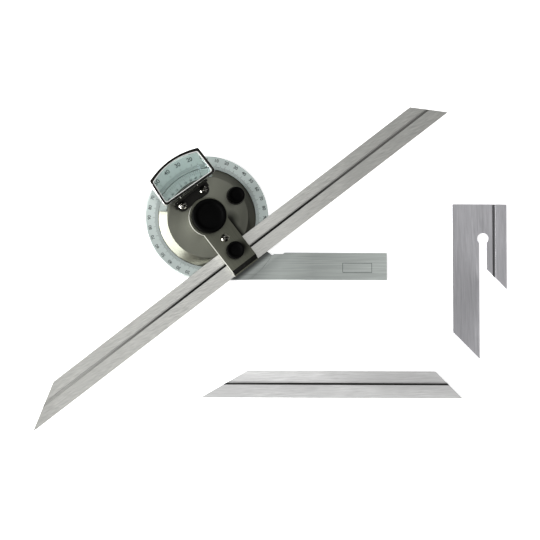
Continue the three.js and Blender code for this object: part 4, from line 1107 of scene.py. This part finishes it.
def dome_screw(node, slot_angle):
    """A domed head on its shank, its slot turned from the blade's direction by that many degrees."""
    turn = BLADE_TURN + math.radians(slot_angle)
    centre, radius, low, high = cad_circle(node)
    head = slotted_head(radius, radius, CROWN_FOOT, CROWN, CROWN_SLOT)
    piece = screw_piece(node, head, TOP_SHANK, high - low - CROWN, (*centre, high - CROWN), turn, 1)
    across = swung(mesh_points(piece.data) - (*centre, 0), -turn)[:, 0]
    # The slot's points get painted shade, for the shadow inside the slot.
    marked(piece, np.abs(across) < (SLOT_WIDTH - SLOT_LIP) / 2)
    print(node, "head width, mm:", round(2 * radius / MM, 2))
    return dress(piece, "swivel", "bright_steel", screw_steel, node)

def flat_screw(node, body, head_height, shank, slot_angle):
    """A countersunk screw facing down, with its slot half as deep as its head."""
    centre, radius, low, high = cad_circle(node)
    head = slotted_head(radius, shank, head_height, 0.0, head_height / 2)
    piece = screw_piece(node, head, shank, high - low, (*centre, low), math.radians(slot_angle), -1)
    return dress(piece, body, "bright_steel", bright_steel, node)

for node, slot_angle in (("arm_screw", 58), ("bracket_screw_1", 40), ("bracket_screw_2", 65)):
    dome_screw(node, slot_angle)
for stem, body, head_height, shank, slot_angles in (
        ("ring_screw", "stock", 0.7 * MM, 0.9 * MM, (20, 75, 140)),
        ("back_screw", "stock", 0.7 * MM, 0.9 * MM, (10, 100, 55, 160)),
        ("vernier_screw", "swivel", 0.4 * MM, 0.7 * MM, (35, 120))):
    for index, slot_angle in enumerate(slot_angles):
        flat_screw(f"{stem}_{index + 1}", body, head_height, shank, slot_angle)

# %% [markdown]
# The magnifier's frame is a small L-shaped section carried along a closed outline: straight below
# and at the sides, bowed above, with rounded corners. The outline is worked out again for each
# point of the section, drawn in by that point's distance from the outer face. One function gives
# the outline and a second carries a section round it.

# %% Outline of the magnifier's frame
FRAME_ASKEW = math.radians(-2.5)
MAGNIFIER_TURN = BLADE_TURN + FRAME_ASKEW
frame_low, frame_high = turned_box("magnifier_frame", MAGNIFIER_TURN)
frame_middle = (frame_low[0] + frame_high[0]) / 2
FRAME_HALF_LOW = (frame_high[0] - frame_low[0]) / 2
FRAME_NARROWING = 0.7 * MM
FRAME_HALF_HIGH = FRAME_HALF_LOW - FRAME_NARROWING
FRAME_BOW = 3.4 * MM
BOW_POINTS = 41
FRAME_SHOULDER = frame_high[1] - frame_low[1] - FRAME_BOW
FRAME_CORNER = 2.4 * MM

def frame_outline(drawn_in):
    """The outline drawn in by a distance d, from its lower edge's left end round to the right:
    bow(x) = shoulder - d + rise * (1 - (x / half)^2)."""
    d = float(drawn_in)
    low_half, high_half = FRAME_HALF_LOW - d, FRAME_HALF_HIGH - d
    shoulder = FRAME_SHOULDER - d
    corner = max(FRAME_CORNER - d / 2, FRAME_CORNER / 2)
    bow_x = np.linspace(high_half, -high_half, BOW_POINTS)
    bow = np.column_stack([bow_x, shoulder + FRAME_BOW * (1 - (bow_x / high_half) ** 2)])
    corners = np.vstack([[(-low_half, d), (low_half, d)], bow])
    rounding = np.full(len(corners), 0.0)
    rounding[:2] = corner
    rounding[[2, -1]] = corner * 0.7
    return softened(corners, rounding, 9, closed=True)

def carried_section(name, corners, rounding):
    """A closed section of (distance drawn in, height) carried round the outline."""
    section = softened(corners, np.asarray(rounding) * MM, 4, closed=True)
    rows = np.stack([raised(frame_outline(inward), level) for inward, level in section])
    rows += (frame_middle, frame_low[1], frame_low[2])
    return looped(name, swung(rows, MAGNIFIER_TURN), 40.0)

print("magnifier frame, mm:", [round(float(side) / MM, 2) for side in frame_high - frame_low])

# %% [markdown]
# Three sections go round that outline. The steel one is polished and has a ledge at its foot. A black
# enamel band covers its upper face and its inner wall, less than a tenth of a millimetre proud of the
# steel, as a painted dark reflection. A bright ring of flat wire lies at the lens's rim as a painted
# highlight along the frame's inner edge.

# %% Magnifier frame
FRAME_RISE = frame_high[2] - frame_low[2]
FRAME_WALL = 1.3 * MM
LEDGE_REACH = FRAME_WALL + 0.9 * MM
LEDGE_LEVEL = 1.0 * MM
STEEL_TOP = FRAME_RISE - 0.06 * MM
dress(carried_section("magnifier_frame_polished", [
    (0, 0), (LEDGE_REACH, 0), (LEDGE_REACH, LEDGE_LEVEL), (FRAME_WALL, LEDGE_LEVEL),
    (FRAME_WALL, STEEL_TOP), (0, STEEL_TOP)],
    (0.25, 0.15, 0.1, 0.1, 0.3, 0.2)), "swivel", "bright_steel", frame_chrome, "magnifier_frame")

# The black band is a painted reflection: it stands for a dark reflection along the frame's top.
BAND_FROM, BAND_BACK, BAND_TO = 0.1 * MM, FRAME_WALL - 0.2 * MM, FRAME_WALL + 0.08 * MM
BAND_BOTTOM, BAND_UNDERSIDE = 1.3 * MM, FRAME_RISE - 0.3 * MM
dress(carried_section("magnifier_frame_dark_band", [
    (BAND_FROM, BAND_UNDERSIDE), (BAND_BACK, BAND_UNDERSIDE), (BAND_BACK, BAND_BOTTOM),
    (BAND_TO, BAND_BOTTOM), (BAND_TO, FRAME_RISE), (BAND_FROM, FRAME_RISE)],
    (0, 0, 0, 0, 0.12, 0.12)), "swivel", "black_enamel", enamel_black)

# The bright wire is a painted highlight along the frame's inner edge.
WIRE_TO = FRAME_WALL + 0.55 * MM
WIRE_LOW, WIRE_HIGH = 4.9 * MM, 5.1 * MM
dress(carried_section("lens_rim_highlight", [
    (FRAME_WALL, WIRE_LOW), (WIRE_TO, WIRE_LOW), (WIRE_TO, WIRE_HIGH), (FRAME_WALL, WIRE_HIGH)],
    (0, 0.08, 0.08, 0)), "swivel", "bright_steel", rim_highlight_wire)

# %% [markdown]
# The lens fills the frame and is domed on both faces, more above than below. Its rings are the
# outline shrunk towards the middle, and each point's height follows from its distance to the middle:
# z = top - rise (r / R)^2. A face of that rise has a radius of R^2 / (2 rise), which gives the focal
# length and how much the lens enlarges the scale below it.

# %% Lens
LENS_GAP = 0.2 * MM
LENS_STEP = 0.6 * MM
LENS_RISE_TOP = 2.2 * MM
LENS_RISE_BOTTOM = 1.25 * MM
lens_low, lens_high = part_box("magnifier_lens")
lens_outline = frame_outline(FRAME_WALL + LENS_GAP)
lens_outline = filled(np.vstack([lens_outline, lens_outline[:1]]), LENS_STEP)[:-1]
lens_middle = np.array((0.0, (FRAME_SHOULDER + FRAME_BOW) / 2))
rings = np.concatenate([[0.0], np.linspace(0.03, 1.0, 40)])[:, None, None]
lens_plan = lens_middle + rings * (lens_outline - lens_middle)
distance = np.linalg.norm(lens_plan - lens_middle, axis=-1)
lens_reach = distance.max()
upper = lens_high.z - LENS_RISE_TOP * (distance / lens_reach) ** 2
lower = lens_low.z + LENS_RISE_BOTTOM * (distance / lens_reach) ** 2
rows = np.concatenate([np.dstack([lens_plan, upper]), np.dstack([lens_plan, lower])[::-1]])
rows += (frame_middle, frame_low[1], 0.0)
lens_piece = mesh_piece("lens_ground", swung(rows, MAGNIFIER_TURN),
                        strip_faces(*rows.shape[:2]), 40.0, flat=False)
dress(lens_piece, "swivel", "lens_glass", lens_glass, "magnifier_lens")
focal_length = lens_reach ** 2 / (2 * (LENS_INDEX - 1) * (LENS_RISE_TOP + LENS_RISE_BOTTOM))
above_scale = (lens_low.z + lens_high.z) / 2 - ring_high.z
print("lens edge, mm:", round(float((upper - lower).min()) / MM, 2), "focal length, mm:",
      round(focal_length / MM, 1), "enlarges", round(1 / (1 - above_scale / focal_length), 2), "times")

# %% [markdown]
# The bracket is a flat casting with two lobes, one round each of its screws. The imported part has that
# shape, so its copy only gets rounder edges, as enamel leaves them.

# %% Bracket
BRACKET_EDGE = 0.18 * MM
dress(softened_copy("magnifier_bracket", "bracket_enamelled", BRACKET_EDGE, 3),
      "swivel", "black_enamel", enamel_black, "magnifier_bracket")

# %% [markdown]
# The small turned parts, which show only in gaps or from below, get rounder versions too: each is
# its own profile, in millimetres, carried round the part's axis.

# %% Stud and bush
BROKEN_EDGE = 0.15 * MM
SMALL_SIDES = 96

def small_turned(node, body, corners, material):
    """A profile whose heights count from the part's lowest level, with its edges broken. One that
    starts off the axis is closed, for a part with a bore."""
    centre, radius, low, high = cad_circle(node)
    corners = np.asarray(corners, float) * MM + (0.0, low)
    bored = corners[0, 0] > 0
    profile = softened(corners, BROKEN_EDGE, 3, closed=bored)
    if bored:
        profile = np.vstack([profile, profile[:1]])
    piece = turned_piece(node + "_turned", profile, SMALL_SIDES, centre)
    return dress(piece, body, "bright_steel", material, node)

small_turned("centre_stud", "stock", [
    (0, 0), (3, 0), (3, 1), (6.5, 1), (6.5, 1.9), (4, 1.9), (4, 13.4), (2.9, 13.4), (2.9, 18.9),
    (0, 18.9)], bright_steel)
small_turned("pinion_bush", "swivel", [
    (1.8, 0), (3.2, 0), (3.2, 5.5), (5.2, 5.5), (5.2, 6.6), (1.8, 6.6)], blackened_and_shade_steel)

# %% [markdown]
# The parts that stay as they are in the CAD model, mostly washers, gears and pins inside, get
# their finish through their own material slots.

# %% Finishes on the carried-over parts
def finish_node(node, material):
    """Puts a material in every material slot of a CAD node's object, leaving its mesh alone."""
    piece = nodes[node]
    for place in piece.material_slots:
        place.link = "OBJECT"
        place.material = material

CARRIED_OVER = {
    bright_steel: ("lock_washer", "lock_spring_washer", "clamp_washer", "clamp_spring_washer", "arm_dowel_1",
                   "arm_dowel_2", "pinion_shaft", "clamp_stud", "clamp_shoe"),
    # The frame's pins are near-black as painted shade, for the shadow in the gap under the frame.
    blackened_and_shade_steel: ("frame_pin_1", "frame_pin_2"),
    gear_brass: ("ring_gear", "pinion", "lock_insert"),
    back_steel: ("back_plate",)}
for material, names in CARRIED_OVER.items():
    for name in names:
        finish_node(name, material)
    print(material.name, "on", len(names), "parts as modelled")
